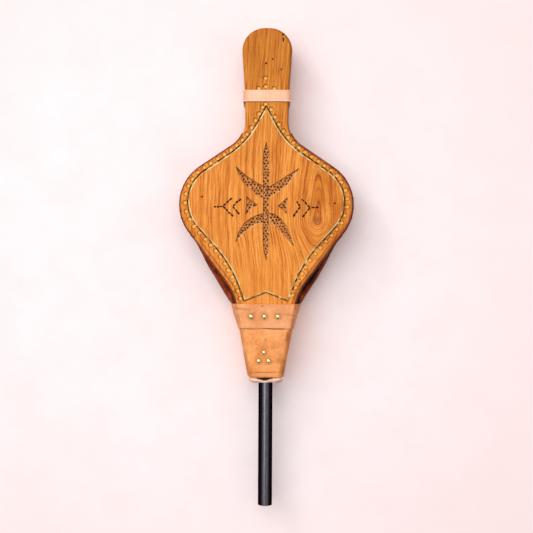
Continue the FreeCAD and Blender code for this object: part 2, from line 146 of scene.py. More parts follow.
def noise(p, cell, seed=0):
    """Smooth noise in -1..1 at the rows of p, on a lattice of the given cell."""
    p = np.atleast_2d(np.asarray(p, float))
    if p.shape[1] == 2:
        p = np.column_stack([p, np.zeros(len(p))])
    q = p / cell
    whole = np.floor(q).astype(np.int64)
    part = q - whole
    part = part * part * (3 - 2 * part)
    total = np.zeros(len(p))
    for corner in range(8):
        offset = np.array([corner & 1, corner >> 1 & 1, corner >> 2 & 1])
        at = whole + offset
        mixed = at[:, 0] * 73856093 ^ at[:, 1] * 19349663 ^ at[:, 2] * 83492791 ^ seed * 2654435
        mixed = (mixed ^ (mixed >> 13)) * 1274126177 & 0x7FFFFFFF
        mixed = (mixed ^ (mixed >> 15)) * 668265263 & 0x7FFFFFFF
        value = (mixed >> 7 & 0xFFFF) / 32767.5 - 1
        total += np.prod(np.where(offset == 1, part, 1 - part), axis=1) * value
    return total


def limit(value, low=0.0, high=1.0):
    return np.clip(value, low, high)


def smooth(t):
    t = limit(t)
    return t * t * (3 - 2 * t)


def line_mark(value, at, width):
    """1 on a line, falling away on both sides of it."""
    return np.exp(-((value - at) / width) ** 2)


def from_line(p, line):
    """What leads from the nearest point of a closed line to each row of p."""
    d = np.roll(line, -1, axis=0) - line
    length2 = np.maximum((d * d).sum(1), 1e-12)
    out = np.empty((len(p), 2))
    for first in range(0, len(p), AT_ONCE):
        q = p[first:first + AT_ONCE, None, :] - line[None]
        q -= limit((q * d).sum(2) / length2)[..., None] * d
        out[first:first + AT_ONCE] = q[np.arange(len(q)), (q * q).sum(2).argmin(1)]
    return out


def line_distance(p, line):
    return np.sqrt((from_line(p, line) ** 2).sum(1))


def inside(p, loop):
    a, b = loop, np.roll(loop, -1, axis=0)
    rise = np.where(b[:, 1] == a[:, 1], 1e-9, b[:, 1] - a[:, 1])
    out = np.zeros(len(p), bool)
    for first in range(0, len(p), AT_ONCE):
        x, y = p[first:first + AT_ONCE, 0:1], p[first:first + AT_ONCE, 1:2]
        spans = (a[:, 1] > y) != (b[:, 1] > y)
        cross = a[:, 0] + (y - a[:, 1]) * (b[:, 0] - a[:, 0]) / rise
        out[first:first + AT_ONCE] = (spans & (x < cross)).sum(1) % 2 == 1
    return out


def smoothed(points, per_span):
    """A Catmull-Rom curve through an open row of points."""
    p = np.array([points[0], *points, points[-1]], float)
    out = []
    for a, b, c, d in zip(p, p[1:], p[2:], p[3:]):
        for t in np.arange(per_span) / per_span:
            out.append(0.5 * (2 * b + (c - a) * t + (2 * a - 5 * b + 4 * c - d) * t ** 2
                              + (3 * b - a - 3 * c + d) * t ** 3))
    return np.array(out + [p[-1]])


def along(line, step):
    """Points about step apart on an open polyline, and the line's unit direction at each."""
    d = np.diff(line, axis=0)
    lengths = np.hypot(*d.T)
    run = np.concatenate([[0], np.cumsum(lengths)])
    at = np.linspace(0, run[-1], max(1, int(round(run[-1] / step))) + 1)
    k = limit(np.searchsorted(run, at, side="right") - 1, 0, len(d) - 1)
    direction = d[k] / lengths[k][:, None]
    return line[k] + direction * (at - run[k])[:, None], direction


def directions(line):
    """Unit tangents of an open polyline."""
    tangent = np.gradient(line, axis=0)
    return tangent / np.hypot(*tangent.T)[:, None]


def squared_circle(count, power):
    """A circle's points, pressed towards the square round it: the lower the power, the squarer."""
    turn = np.arange(count) * 2 * math.pi / count
    return [np.sign(part) * np.abs(part) ** power for part in (np.cos(turn), np.sin(turn))]


def new_object(name, verts_mm, faces, material, smooth_angle, attributes, recalculate=True):
    """A mesh object from drawing coordinates. recalculate turns all its faces outward."""
    v = np.array(verts_mm, float)
    v[:, 1] += SHIFT_Y
    mesh = bpy.data.meshes.new(name)
    mesh.from_pydata((v / 1000).tolist(), [], [tuple(int(i) for i in f) for f in faces])
    mesh.validate()
    for key, values in attributes.items():
        layer = mesh.attributes.new(key, "FLOAT", "POINT")
        layer.data.foreach_set("value", np.asarray(values, np.float32))
    mesh.shade_smooth()
    if recalculate:
        bm = bmesh.new()
        bm.from_mesh(mesh)
        bmesh.ops.recalc_face_normals(bm, faces=bm.faces)
        bm.to_mesh(mesh)
        bm.free()
    mesh.set_sharp_from_angle(angle=math.radians(smooth_angle))
    mesh.materials.append(material)
    obj = bpy.data.objects.new(name, mesh)
    bpy.context.scene.collection.objects.link(obj)
    return obj


def ring_faces(rows, cols, close_rows=False, first=0):
    """Quads between closed rings of cols points. If the last ring doesn't meet the first, both get a face."""
    faces = []
    for i in range(rows if close_rows else rows - 1):
        here, after = first + i * cols, first + (i + 1) % rows * cols
        for j in range(cols):
            m = (j + 1) % cols
            faces.append((here + j, here + m, after + m, after + j))
    if not close_rows:
        last = first + (rows - 1) * cols
        faces += [tuple(range(first, first + cols)), tuple(range(last, last + cols))]
    return faces


# ---- materials ----

class Nodes:
    """Adds nodes to a node tree, each method one node or a small group."""

    def __init__(self, tree):
        self.tree = tree

    def add(self, kind, inputs={}, **settings):
        """A new node. inputs: the socket or the constant that goes into each named or numbered input."""
        node = self.tree.nodes.new(kind)
        for key, value in settings.items():
            setattr(node, key, value)
        self.put(node, inputs)
        return node

    def put(self, node, inputs):
        """Links sockets and sets constants. A colour is three numbers."""
        for key, value in inputs.items():
            if isinstance(value, bpy.types.NodeSocket):
                self.tree.links.new(value, node.inputs[key])
            else:
                node.inputs[key].default_value = (*value, 1.0) if isinstance(value, tuple) else value

    def math(self, operation, a, b=0.0):
        return self.add("ShaderNodeMath", {0: a, 1: b}, operation=operation).outputs[0]

    def plus(self, a, b):
        return self.math("ADD", a, b)

    def minus(self, a, b):
        return self.math("SUBTRACT", a, b)

    def times(self, a, b):
        return self.math("MULTIPLY", a, b)

    def squares(self, *parts):
        """The sum of the squares."""
        total = self.times(parts[0], parts[0])
        for part in parts[1:]:
            total = self.plus(total, self.times(part, part))
        return total

    def split(self, vector):
        return self.add("ShaderNodeSeparateXYZ", {0: vector}).outputs

    def join(self, x, y, z):
        return self.add("ShaderNodeCombineXYZ", {0: x, 1: y, 2: z}).outputs[0]

    def scaled(self, vector, by):
        return self.add("ShaderNodeVectorMath", {0: vector, "Scale": by}, operation="SCALE").outputs[0]

    def noise(self, vector, scale, detail, rough, distortion=0.0):
        return self.add("ShaderNodeTexNoise", {"Vector": vector, "Scale": scale, "Detail": detail,
                                               "Roughness": rough, "Distortion": distortion}).outputs[0]

    def span(self, value, low, high, to_low=0.0, to_high=1.0, smooth=False):
        return self.add("ShaderNodeMapRange", {0: value, 1: low, 2: high, 3: to_low, 4: to_high}, clamp=True,
                        interpolation_type="SMOOTHSTEP" if smooth else "LINEAR").outputs[0]

    def ramp(self, value, stops):
        node = self.add("ShaderNodeValToRGB", {0: value})
        elements = node.color_ramp.elements
        while len(elements) < len(stops):
            elements.new(0.5)
        for element, (position, colour) in zip(elements, stops):
            element.position = position
            element.color = (*colour, 1.0)
        return node.outputs[0]

    def mix(self, share, a, b, mode="MIX"):
        return self.add("ShaderNodeMix", {0: share, 6: a, 7: b}, data_type="RGBA", blend_type=mode).outputs[2]


class Shader(Nodes):
    """A node material. Its coordinates are the row frame's, in millimetres."""

    def __init__(self, name):
        self.material = bpy.data.materials.new(name)
        self.material.use_nodes = True
        super().__init__(self.material.node_tree)
        self.tree.nodes.clear()
        self.bsdf = self.add("ShaderNodeBsdfPrincipled")
        self.add("ShaderNodeOutputMaterial", {0: self.bsdf.outputs[0]})
        self.coord = self.scaled(self.add("ShaderNodeTexCoord").outputs["Object"], 1000.0)
        self.x, self.y, self.z = self.split(self.coord)

    def cells(self, scale, feature="F1"):
        node = self.add("ShaderNodeTexVoronoi", {"Vector": self.coord, "Scale": scale}, feature=feature)
        return node.outputs["Distance"]

    def attribute(self, name):
        return self.add("ShaderNodeAttribute", attribute_name=name).outputs["Fac"]

    def bump(self, height, distance_mm, strength):
        inputs = {"Height": height, "Distance": distance_mm / 1000, "Strength": strength}
        self.put(self.bsdf, {"Normal": self.add("ShaderNodeBump", inputs).outputs[0]})

    def finish(self, colour, roughness, **fixed):
        """The material. fixed: the shader's other inputs, with _ for a space."""
        self.put(self.bsdf, {"Base Color": colour, "Roughness": roughness})
        self.put(self.bsdf, {key.replace("_", " "): value for key, value in fixed.items()})
        return self.material


def srgb(r, g, b):
    """Linear colour from 0..255 display values."""
    def one(c):
        c /= 255
        return c / 12.92 if c <= 0.04045 else ((c + 0.055) / 1.055) ** 2.4
    return one(r), one(g), one(b)


def wood(name, knot=(49.0, 44.0), seed=0.0):
    """Oiled, honey-coloured hardwood, its grain along Y and sweeping round one small knot."""
    s = Shader(name)
    x, y, z = s.x, s.y, s.z

    def figure(across, width, length, shift, detail, rough):
        """Noise drawn out along the grain, with so many waves per mm of its width and its length."""
        return s.noise(s.join(s.times(across, width), s.times(y, length), seed + shift), 1.0, detail, rough)

    # slow wander of the whole figure
    wander = s.times(s.minus(figure(x, 0.03, 0.012, 0.0, 2.0, 0.5), 0.5), 7.0)
    shake = s.times(s.minus(figure(x, 0.12, 0.05, 3.0, 3.0, 0.55), 0.5), 2.6)
    across = s.plus(s.minus(x, knot[0]), s.plus(wander, shake))
    # below the knot the rings close in long tongues, above it they run on
    down = s.minus(y, knot[1] + SHIFT_Y)
    below = s.times(s.math("TANH", s.times(s.math("MINIMUM", down, 0.0), 0.031)), 25.0)
    above = s.times(s.math("MAXIMUM", down, 0.0), 0.16)
    depth = s.times(s.minus(z, Z_FRONT_OUT), 0.8)
    ring = s.plus(s.math("SQRT", s.plus(s.squares(across, below, above), 6.0)), depth)
    bands = figure(ring, 0.16, 0.002, 0.0, 3.0, 0.6)
    lines = figure(ring, 0.6, 0.006, 7.0, 4.0, 0.65)
    fine = figure(ring, 1.5, 0.05, 9.0, 3.0, 0.6)
    pores = figure(ring, 4.5, 0.22, 5.0, 2.0, 0.5)
    clouds = figure(x, 0.045, 0.02, 2.0, 2.0, 0.5)
    haze = figure(x, 0.07, 0.03, 12.0, 4.0, 0.6)
    value = s.plus(s.plus(s.times(bands, 0.22), s.times(lines, 0.6)), s.times(fine, 0.52))
    colour = s.ramp(s.span(value, 0.53, 0.79), [
        (0.0, srgb(170, 84, 18)), (0.25, srgb(210, 119, 36)), (0.56, srgb(238, 150, 57)),
        (1.0, srgb(252, 178, 90))])
    colour = s.mix(s.span(clouds, 0.45, 0.72, 0.0, 0.3), colour, srgb(216, 126, 40))
    colour = s.mix(s.span(pores, 0.38, 0.28, 0.0, 0.62), colour, srgb(140, 66, 12))
    # the handle is darker, most of all towards its end
    handle = s.times(s.span(y, 90.0, 210.0, 0.1, 1.0), s.span(clouds, 0.66, 0.4, 0.75, 1.0))
    colour = s.mix(handle, colour, (0.64, 0.56, 0.18), "MULTIPLY")
    # heart of the knot, and the darker wood beside it
    near = s.math("SQRT", s.squares(across, down))
    colour = s.mix(s.span(near, 7.0, 1.0, 0.0, 0.55, True), colour, srgb(128, 70, 40))
    spread = s.squares(s.times(s.minus(x, 56.0), 0.032), s.times(s.minus(y, 62.0), 0.017))
    patch = s.times(s.span(spread, 1.35, 0.0, 0.0, 1.0, True), s.span(haze, 0.3, 0.62))
    colour = s.mix(patch, colour, (0.7, 0.54, 0.2), "MULTIPLY")
    # carving: sunk panels are stained; cuts show raw wood, brightened as a painted highlight on the walls
    # facing the light; punches are gold with a painted highlight; dark wax and painted shade fill the
    # corners, holes and the walls turned from the light
    stained = s.ramp(s.noise(s.coord, 1.0, 3.0, 0.6), [
        (0.36, srgb(134, 62, 12)), (0.5, srgb(186, 104, 38)), (0.66, srgb(244, 180, 98))])
    # of these weights, the dark one is wax and painted shade, the pale one raw wood with a painted highlight,
    # and the gold one the punches' floors with a painted highlight
    for key, tone in (("stain", stained), ("raw", srgb(255, 238, 172)), ("gold", srgb(252, 200, 92)),
                      ("soot", srgb(16, 5, 1))):
        colour = s.mix(s.attribute(key), colour, tone)
    # painted shade on the rounded rim and the board's sides, heaviest down the right side, with the handling
    # marks and the worn line
    colour = s.mix(s.attribute("rim"), colour, srgb(150, 74, 26), "MULTIPLY")
    s.bump(s.plus(s.times(fine, 0.5), s.times(s.span(pores, 0.3, 0.42), 0.6)), 0.12, 0.5)
    return s.finish(colour, s.span(lines, 0.3, 0.7, 0.52, 0.4), Coat_Weight=0.03, Coat_Roughness=0.3,
                    Specular_IOR_Level=0.14)


def leather(name, tones, grain=1.0, mottle=1.0, edge=(150, 90, 50), rough=(0.55, 0.7), sheen=0.0, speck=0.5,
            shine=0.28):
    """Vegetable-tanned leather: mottled, faintly pored, darker where it is handled and along its cuts. The
    fold weight also paints shade into gaps, creases and sides turned from the light, and on some pieces the
    cut weight paints a highlight.
    tones: dark, middle, light, cut. edge: the colour of its folds and specks."""
    s = Shader(name)
    dark, middle, light, cut = (srgb(*tone) for tone in tones)
    broad = s.noise(s.coord, 0.06 * mottle, 3.0, 0.55, 0.4)
    small = s.noise(s.coord, 0.42, 4.0, 0.65)
    tiny = s.noise(s.coord, 2.2, 2.0, 0.6)
    value = s.plus(s.times(broad, 0.55), s.times(small, 0.45))
    colour = s.ramp(s.span(value, 0.32, 0.68), [(0.0, dark), (0.5, middle), (1.0, light)])
    for share, tone in ((s.span(s.cells(0.13), 0.09, 0.05, 0.0, speck), srgb(*edge)),
                        (s.span(tiny, 0.3, 0.7, 0.0, 0.16), dark),
                        (s.attribute("fold"), srgb(*edge)), (s.attribute("cut"), cut)):
        colour = s.mix(share, colour, tone)
    wrinkle = s.noise(s.coord, 0.5, 5.0, 0.7, 1.2)
    s.bump(s.plus(s.times(s.cells(1.1, "SMOOTH_F1"), 0.5), s.times(wrinkle, 1.2)), 0.35 * grain, 0.6)
    return s.finish(colour, s.span(small, 0.3, 0.7, *rough), Sheen_Weight=sheen, Sheen_Roughness=0.5,
                    Specular_IOR_Level=shine)


def brass(name):
    """Polished brass upholstery nail: bright crown, a little tarnish and fine hammer marks."""
    s = Shader(name)
    tarnish = s.noise(s.coord, 0.9, 4.0, 0.6)
    colour = s.ramp(tarnish, [(0.3, srgb(214, 170, 84)), (0.55, srgb(255, 236, 176))])
    s.bump(s.plus(s.cells(0.75), s.times(s.noise(s.coord, 3.0, 3.0, 0.6), 0.3)), 0.08, 0.5)
    return s.finish(colour, s.span(tarnish, 0.35, 0.7, 0.14, 0.08), Metallic=1.0)


def black_iron(name):
    """Iron pipe in black enamel, slightly orange-peeled, with a painted reflection that makes it brighter
    along its top and its bottom.
    """
    s = Shader(name)
    peel = s.noise(s.coord, 0.35, 3.0, 0.5)
    wear = s.noise(s.join(s.x, s.times(s.y, 0.25), s.z), 0.5, 5.0, 0.7)
    facing = s.split(s.add("ShaderNodeNewGeometry").outputs["Normal"])[2]
    # painted reflection: the enamel's colour is brighter where its surface faces up or down
    painted_reflection = s.span(s.math("ABSOLUTE", facing), 0.82, 0.985, 0.0, 1.0, True)
    bright = s.ramp(wear, [(0.3, (0.1, 0.095, 0.115)), (0.75, (0.17, 0.16, 0.19))])
    colour = s.mix(painted_reflection, (0.014, 0.012, 0.013), bright)
    s.bump(s.plus(peel, s.times(wear, 0.25)), 0.08, 0.35)
    return s.finish(colour, s.span(wear, 0.4, 0.75, 0.16, 0.26), Metallic=1.0,
                    Specular_Tint=(0.05, 0.05, 0.06))


WOOD_FRONT = wood("oiled_wood_front")
WOOD_BACK = wood("oiled_wood_back", knot=(-31.0, 92.0), seed=21.0)
WOOD_NOSE = wood("oiled_wood_nose", knot=(60.0, 140.0), seed=40.0)
LEATHER_BAND = leather("band_leather", [(216, 138, 86), (240, 164, 106), (250, 184, 130), (236, 170, 120)],
                       edge=(134, 66, 28))
LEATHER_WRAP = leather("wrap_leather", [(220, 132, 74), (250, 166, 96), (255, 194, 128), (250, 200, 150)],
                       edge=(150, 74, 22), speck=0.6)
LEATHER_STRAP = leather("strap_leather", [(236, 184, 148), (248, 204, 170), (254, 218, 190), (255, 240, 214)],
                        grain=0.5, mottle=0.7, edge=(226, 146, 116), speck=0.1)
# the suede's edge tone is painted as shade in the collar's gap, its hollows and its inside
SUEDE = leather("suede", [(206, 150, 128), (230, 176, 154), (244, 200, 178), (255, 232, 206)],
                grain=1.6, edge=(40, 22, 16), rough=(0.85, 0.95), sheen=0.3, speck=0.2)
# on the folding side the edge tone is painted as shade under the front board and the cut tone as a highlight
# along the outer fold
LEATHER_GUSSET = leather("gusset_leather", [(98, 24, 4), (146, 54, 14), (196, 100, 44), (212, 150, 124)],
                         grain=0.9, edge=(10, 2, 1), rough=(0.5, 0.66), speck=0.3, shine=0.08)
LEATHER_WELT = leather("welt_leather", [(104, 52, 26), (134, 72, 36), (168, 98, 50), (190, 120, 64)],
                       grain=0.8, edge=(60, 26, 12), rough=(0.45, 0.6), speck=0.3)
LEATHER_VALVE = leather("valve_leather", [(120, 78, 48), (150, 100, 62), (172, 120, 78), (200, 150, 104)],
                        edge=(80, 46, 26), rough=(0.65, 0.8))
BRASS = brass("polished_brass")
IRON = black_iron("gloss_black_iron")

# ---- front board: a fine relief mesh with every cut of the carving in it ----
FRONT_END_Y = HINGE_Y + 0.2
PLAN_STEP = 1.6
GRID_STEP, GRID_CLEAR = 3.2, 0.75
RIM = 3.0
LEAN, LEAN_FROM_Y = -0.0045, 8.0
SIDE_SHADE = 0.35
GROOVE_HALF, GROOVE_DEPTH, GROOVE_LIP = 1.2, 1.1, 1.38
POCKET_DEPTH, HOLE_DEPTH, DASH_DEPTH, HOUSING_DEPTH = 0.7, 1.4, 0.85, 2.75
HOUSING_HALF, HOUSING_REACH = 18.0, 7.0
PUNCH_PITCH, PUNCH_OUT, PUNCH_LOW_Y, PUNCH_HIGH_Y = 7.35, 2.95, -31.0, 151.0
FOOT_HALF, FOOT_Y = 22, -20  # the border's foot has no punches
DOT_PITCH, DOT_ROW, DOT_CLEAR, DOT_APART = 3.3, 0.85, 0.98, 2.35
DASH_PITCH, DASH_SQUARE = 3.6, 0.7

SPEAR_SIDE = [(0, 118.5), (2.6, 111), (3.7, 99), (3.4, 86), (3.2, 76), (3.2, 52), (3.4, 40), (3.4, 24),
              (2.6, 14), (0, 5.8)]
CRESCENTS = [
    [(-29.3, 95.6), (-19.3, 87.0), (-12.0, 82.0), (-1.2, 76.2), (-1.2, 63.6), (-6.7, 66.3), (-14.7, 72.3),
     (-21.3, 78.3), (-27.0, 88.5)],
    [(31.0, 93.6), (19.9, 87.0), (11.9, 81.4), (1.2, 75.2), (1.2, 64.8), (5.3, 66.6), (14.5, 72.9),
     (22.5, 79.6), (26.5, 86.0)],
    [(-29.3, 22.9), (-26.8, 32.4), (-21.3, 41.1), (-14.7, 46.4), (-6.7, 50.0), (-1.2, 50.8), (-1.2, 42.2),
     (-9.4, 39.7), (-16.0, 35.8), (-23.3, 29.1)],
    [(26.7, 18.9), (23.8, 28.6), (19.9, 38.4), (14.5, 45.4), (7.9, 50.2), (1.2, 51.6), (1.2, 41.9),
     (7.9, 39.1), (13.2, 34.4), (18.5, 27.8)],
]
TRIANGLES = [[(-18.9, 66.8), (-8.7, 58.8), (-19.5, 50.1)], [(20.3, 65.9), (11.4, 57.8), (19.4, 50.3)]]
POCKETS = [SPEAR_SIDE + [(-x, y) for x, y in reversed(SPEAR_SIDE[1:-1])], *CRESCENTS, *TRIANGLES]
# the ends and corners in which a pocket is too narrow to be cut clean
SHARP_TIPS = [SPEAR_SIDE[0], SPEAR_SIDE[-1]] + [ring[0] for ring in CRESCENTS] + sum(TRIANGLES, [])

# dashed arrows, one row of chisel cuts per stroke
ARROW_STROKES = [
    ((-50.4, 56.5), (-41.4, 57.2)), ((-41.4, 57.4), (-32.2, 65.5)), ((-41.4, 57.0), (-31.4, 47.1)),
    ((-32.0, 57.4), (-23.9, 64.6)), ((-32.0, 57.2), (-25.5, 49.1)),
    ((50.5, 56.5), (43.1, 56.5)), ((41.8, 56.1), (33.8, 64.6)), ((41.8, 56.1), (34.4, 46.8)),
    ((32.4, 57.2), (29.1, 62.6)), ((32.4, 57.2), (25.7, 47.1)),
]
# two dark bruises near the handle's end, made as wide dashes: x, y, turn, half length, half width
BRUISES = [(15.3, 221.7, 1.35, 1.15, 0.85), (16.2, 216.7, 1.6, 2.1, 0.72)]
NAIL_HOLES = [(-0.3, 194.0, 1.1), (6.1, 198.0, 0.9), (-61.5, 66.2, 1.0), (65.6, 60.5, 1.0),
              (14.1, 188.4, 0.7), (-4.4, 181.0, 0.5)]
HANDLE_STAMPS = [(-0.7, 180.0), (-0.8, 172.0), (-7.4, 170.0), (7.3, 170.0), (-0.9, 155.3)]


def subdivided(points, step):
    """The closed polygon with its sides divided into parts about step long."""
    out = []
    for a, b in zip(points, points[1:] + points[:1]):
        count = max(1, int(round(math.hypot(b[0] - a[0], b[1] - a[1]) / step)))
        out += [a] + between(a, b, count)
    return np.array(out, float)


def inset_polygon(points, by):
    """The polygon with each side moved in by `by`."""
    area = sum(a[0] * b[1] - b[0] * a[1] for a, b in zip(points, points[1:] + points[:1]))
    side = 1 if area > 0 else -1
    out = []
    for i, here in enumerate(points):
        a, b = unit(points[i - 1], here), unit(here, points[(i + 1) % len(points)])
        share = side * by / max(0.25, 1 + a[0] * b[0] + a[1] * b[1])
        out.append((here[0] - (a[1] + b[1]) * share, here[1] + (a[0] + b[0]) * share))
    return out


WHOLE_BOARD = BOARD + [(nose_half(FRONT_END_Y - 20), FRONT_END_Y - 20, 0.0)]


def board_outline(grow=0.0):
    """The board's plan as far as its straight end, which stays where it is when the plan grows."""
    loop = loop_points(WHOLE_BOARD, PLAN_STEP, grow)
    loop = loop[loop[:, 1] > FRONT_END_Y + 0.4]
    # the loop runs clockwise from the top, and its one long gap is where the end goes
    jump = int(np.argmax(np.hypot(*np.diff(np.vstack([loop, loop[:1]]), axis=0).T)))
    half = nose_half(FRONT_END_Y) + grow
    end = [(x, FRONT_END_Y) for x in np.linspace(half, -half, max(3, int(2 * half / PLAN_STEP)))]
    return np.vstack([loop[:jump + 1], end, loop[jump + 1:]])


def circle(cx, cy, radius, count, start=0.0):
    turn = start + np.arange(count) * 2 * math.pi / count
    return np.column_stack([cx + radius * np.cos(turn), cy + radius * np.sin(turn)])


class Relief:
    """Collects the points of every cut, then makes one fine mesh of them."""

    def __init__(self):
        self.rings = []
        self.fixed = []

    def ring(self, points, closed=True, fixed=True):
        """Adds points. Those of a fixed ring are joined by edges of the mesh."""
        self.rings.append(np.asarray(points, float))
        if fixed:
            self.fixed.append((len(self.rings), closed))

    def circles(self, cx, cy, radius, *rings):
        """Adds rings round one centre, then the centre. Each ring: share of the radius, count, fixed."""
        for share, count, fixed in rings:
            self.ring(circle(cx, cy, radius * share, count), fixed=fixed)
        self.ring([(cx, cy)], fixed=False)

    def solve(self, outline, spacing, keep_away):
        """Points and faces inside the outline, and where each outline point went."""
        spans = [outline] + self.rings
        starts = np.concatenate([[0], np.cumsum([len(s) for s in spans])])
        edges = []
        for index, closed in self.fixed:
            ids = range(starts[index], starts[index + 1])
            edges += zip(ids, ids[1:])
            if closed:
                edges.append((ids[-1], ids[0]))
        low, high = outline.min(0), outline.max(0)
        grid = np.array([(x, y) for x in np.arange(low[0], high[0], spacing)
                         for y in np.arange(low[1], high[1], spacing)])
        grid = grid + rng.uniform(-0.3, 0.3, grid.shape) * spacing
        grid = grid[inside(grid, outline)]
        grid = grid[line_distance(grid, outline) > spacing * 0.5]
        cuts = np.vstack(self.rings)
        grid = grid[[((cuts - spot) ** 2).sum(1).min() >= keep_away ** 2 for spot in grid]]
        verts, _, faces, origin, _, _ = delaunay_2d_cdt(
            [Vector(p) for p in np.vstack(spans + [grid]).tolist()], [(int(a), int(b)) for a, b in edges],
            [list(range(len(outline)))], 1, 1e-4)
        rim = {old: new for new, olds in enumerate(origin) for old in olds if old < len(outline)}
        rim_ids = [rim[k] for k in range(len(outline))]
        return np.array([(v.x, v.y) for v in verts]), [tuple(f) for f in faces], rim_ids


front = Relief()
outline = board_outline()
for grow in (-0.2, -0.55, -1.1, -1.9, -3.0, -4.2):
    loop = board_outline(grow)
    front.ring(loop[loop[:, 1] > FRONT_END_Y + 0.6], fixed=False)
border = loop_points(BORDER, 0.9)
for grow in (-GROOVE_LIP - 0.15, -GROOVE_LIP, -GROOVE_HALF, -0.4, 0.12, GROOVE_HALF, 1.4):
    front.ring(loop_points(BORDER, 1.1, grow))

# round punches along the outside of the border, each tipped so that its outer lip is the deepest:
# x, y, radius, outward direction
punches = []
spots, ways = along(np.vstack([border, border[:1]]), 0.4)
run = 3.0
for before, (x, y), way in zip(spots, spots[1:], ways[1:]):
    run += math.hypot(x - before[0], y - before[1])
    if run < PUNCH_PITCH or not PUNCH_LOW_Y <= y <= PUNCH_HIGH_Y or (abs(x) < FOOT_HALF and y < FOOT_Y):
        continue
    run = rng.uniform(-0.45, 0.45)
    out = np.array([-way[1], way[0]])
    centre = (x, y) + out * (PUNCH_OUT + rng.uniform(-0.25, 0.25))
    punches.append((*centre, rng.uniform(2.0, 2.3), *out))
punches += [(x, y, 2.1, -0.55, 0.83) for x, y in HANDLE_STAMPS]
for cx, cy, r, _, _ in punches:
    front.circles(cx, cy, r, (1.17, 16, False), (1.0, 20, True), (0.8, 18, True), (0.6, 12, False),
                  (0.32, 6, False))

# sunk panels, with straight-sided walls, and dots pricked all over them: x, y, radius
panel_tops = [subdivided(corners, 1.0) for corners in POCKETS]
for corners, ring in zip(POCKETS, panel_tops):
    front.ring(ring)
    front.ring(subdivided(inset_polygon(corners, 0.28), 1.0))
    front.ring(subdivided(inset_polygon(corners, 0.62), 1.0), fixed=False)
    front.ring(subdivided(inset_polygon(corners, -0.35), 1.2), fixed=False)
dots = []
for ring in panel_tops:
    low, high = ring.min(0), ring.max(0)
    pitch_y = DOT_PITCH * DOT_ROW
    spots = np.array([(low[0] + (col + 0.5 * (row % 2)) * DOT_PITCH, low[1] + row * pitch_y)
                      for row in range(int((high[1] - low[1]) / pitch_y) + 2)
                      for col in range(int((high[0] - low[0]) / DOT_PITCH) + 3)])
    spots = spots + rng.uniform(-0.42, 0.42, (len(spots), 2))
    spots = spots[inside(spots, ring)]
    for x, y in spots[line_distance(spots, ring) > DOT_CLEAR]:
        if all((x - a) ** 2 + (y - b) ** 2 > DOT_APART ** 2 for a, b, _ in dots):
            dots.append((x, y, rng.uniform(0.82, 1.12)))
for cx, cy, r in dots:
    front.ring(circle(cx, cy, r, 9, rng.uniform(0, 1)))
    front.circles(cx, cy, r, (0.6, 6, False))
for cx, cy, r in NAIL_HOLES:
    front.ring(circle(cx, cy, r, 12))
    front.ring(circle(cx, cy, r * 0.65, 8), fixed=False)

dashes = []
for a, b in ARROW_STROKES:
    a, b = np.array(a), np.array(b)
    length = math.hypot(*(b - a))
    count = max(2, int(round(length / DASH_PITCH)))
    d = (b - a) / length
    for k in range(count):
        middle = a + d * length * (k + 0.5) / count + rng.uniform(-0.22, 0.22, 2)
        turn = math.atan2(d[1], d[0]) + rng.uniform(-0.12, 0.12)
        dashes.append((*middle, turn, length / count * 0.5 - 0.1, rng.uniform(0.78, 1.06)))
dashes += BRUISES
for cx, cy, turn, half_l, half_w in dashes:
    u, v = squared_circle(16, DASH_SQUARE)
    for scale in (1.0, 0.72, 1.3):
        long = u * (half_l * min(scale, 1.0) + max(0.0, scale - 1.0))
        wide = v * half_w * scale
        front.ring(np.column_stack([cx + long * math.cos(turn) - wide * math.sin(turn),
                                    cy + long * math.sin(turn) + wide * math.cos(turn)]), fixed=scale <= 1.0)

# the housing for the hinge strip: the top and the foot of its wall
for wall in (0.1, 0.0):
    half, top = HOUSING_HALF + wall, HINGE_Y + HOUSING_REACH + wall
    front.ring(subdivided([(-half, FRONT_END_Y), (-half, top), (half, top), (half, FRONT_END_Y)], 2.0),
               closed=False)


def rim_drop(p):
    """How far a rounded rim has fallen at each point of the board's face."""
    t = limit(RIM - line_distance(p, loop_points(WHOLE_BOARD, PLAN_STEP)), 0, RIM)
    return RIM - np.sqrt(np.maximum(RIM ** 2 - t ** 2, 0))


def wall_facing(p, line):
    """-1 to 1: how much a wall of the cut along the line faces down and right, away from the light, where the
    painted shade goes.
    """
    away = from_line(p, line)
    return away / np.maximum(np.hypot(*away.T), 1e-6)[:, None] @ np.array((0.5, -0.86))


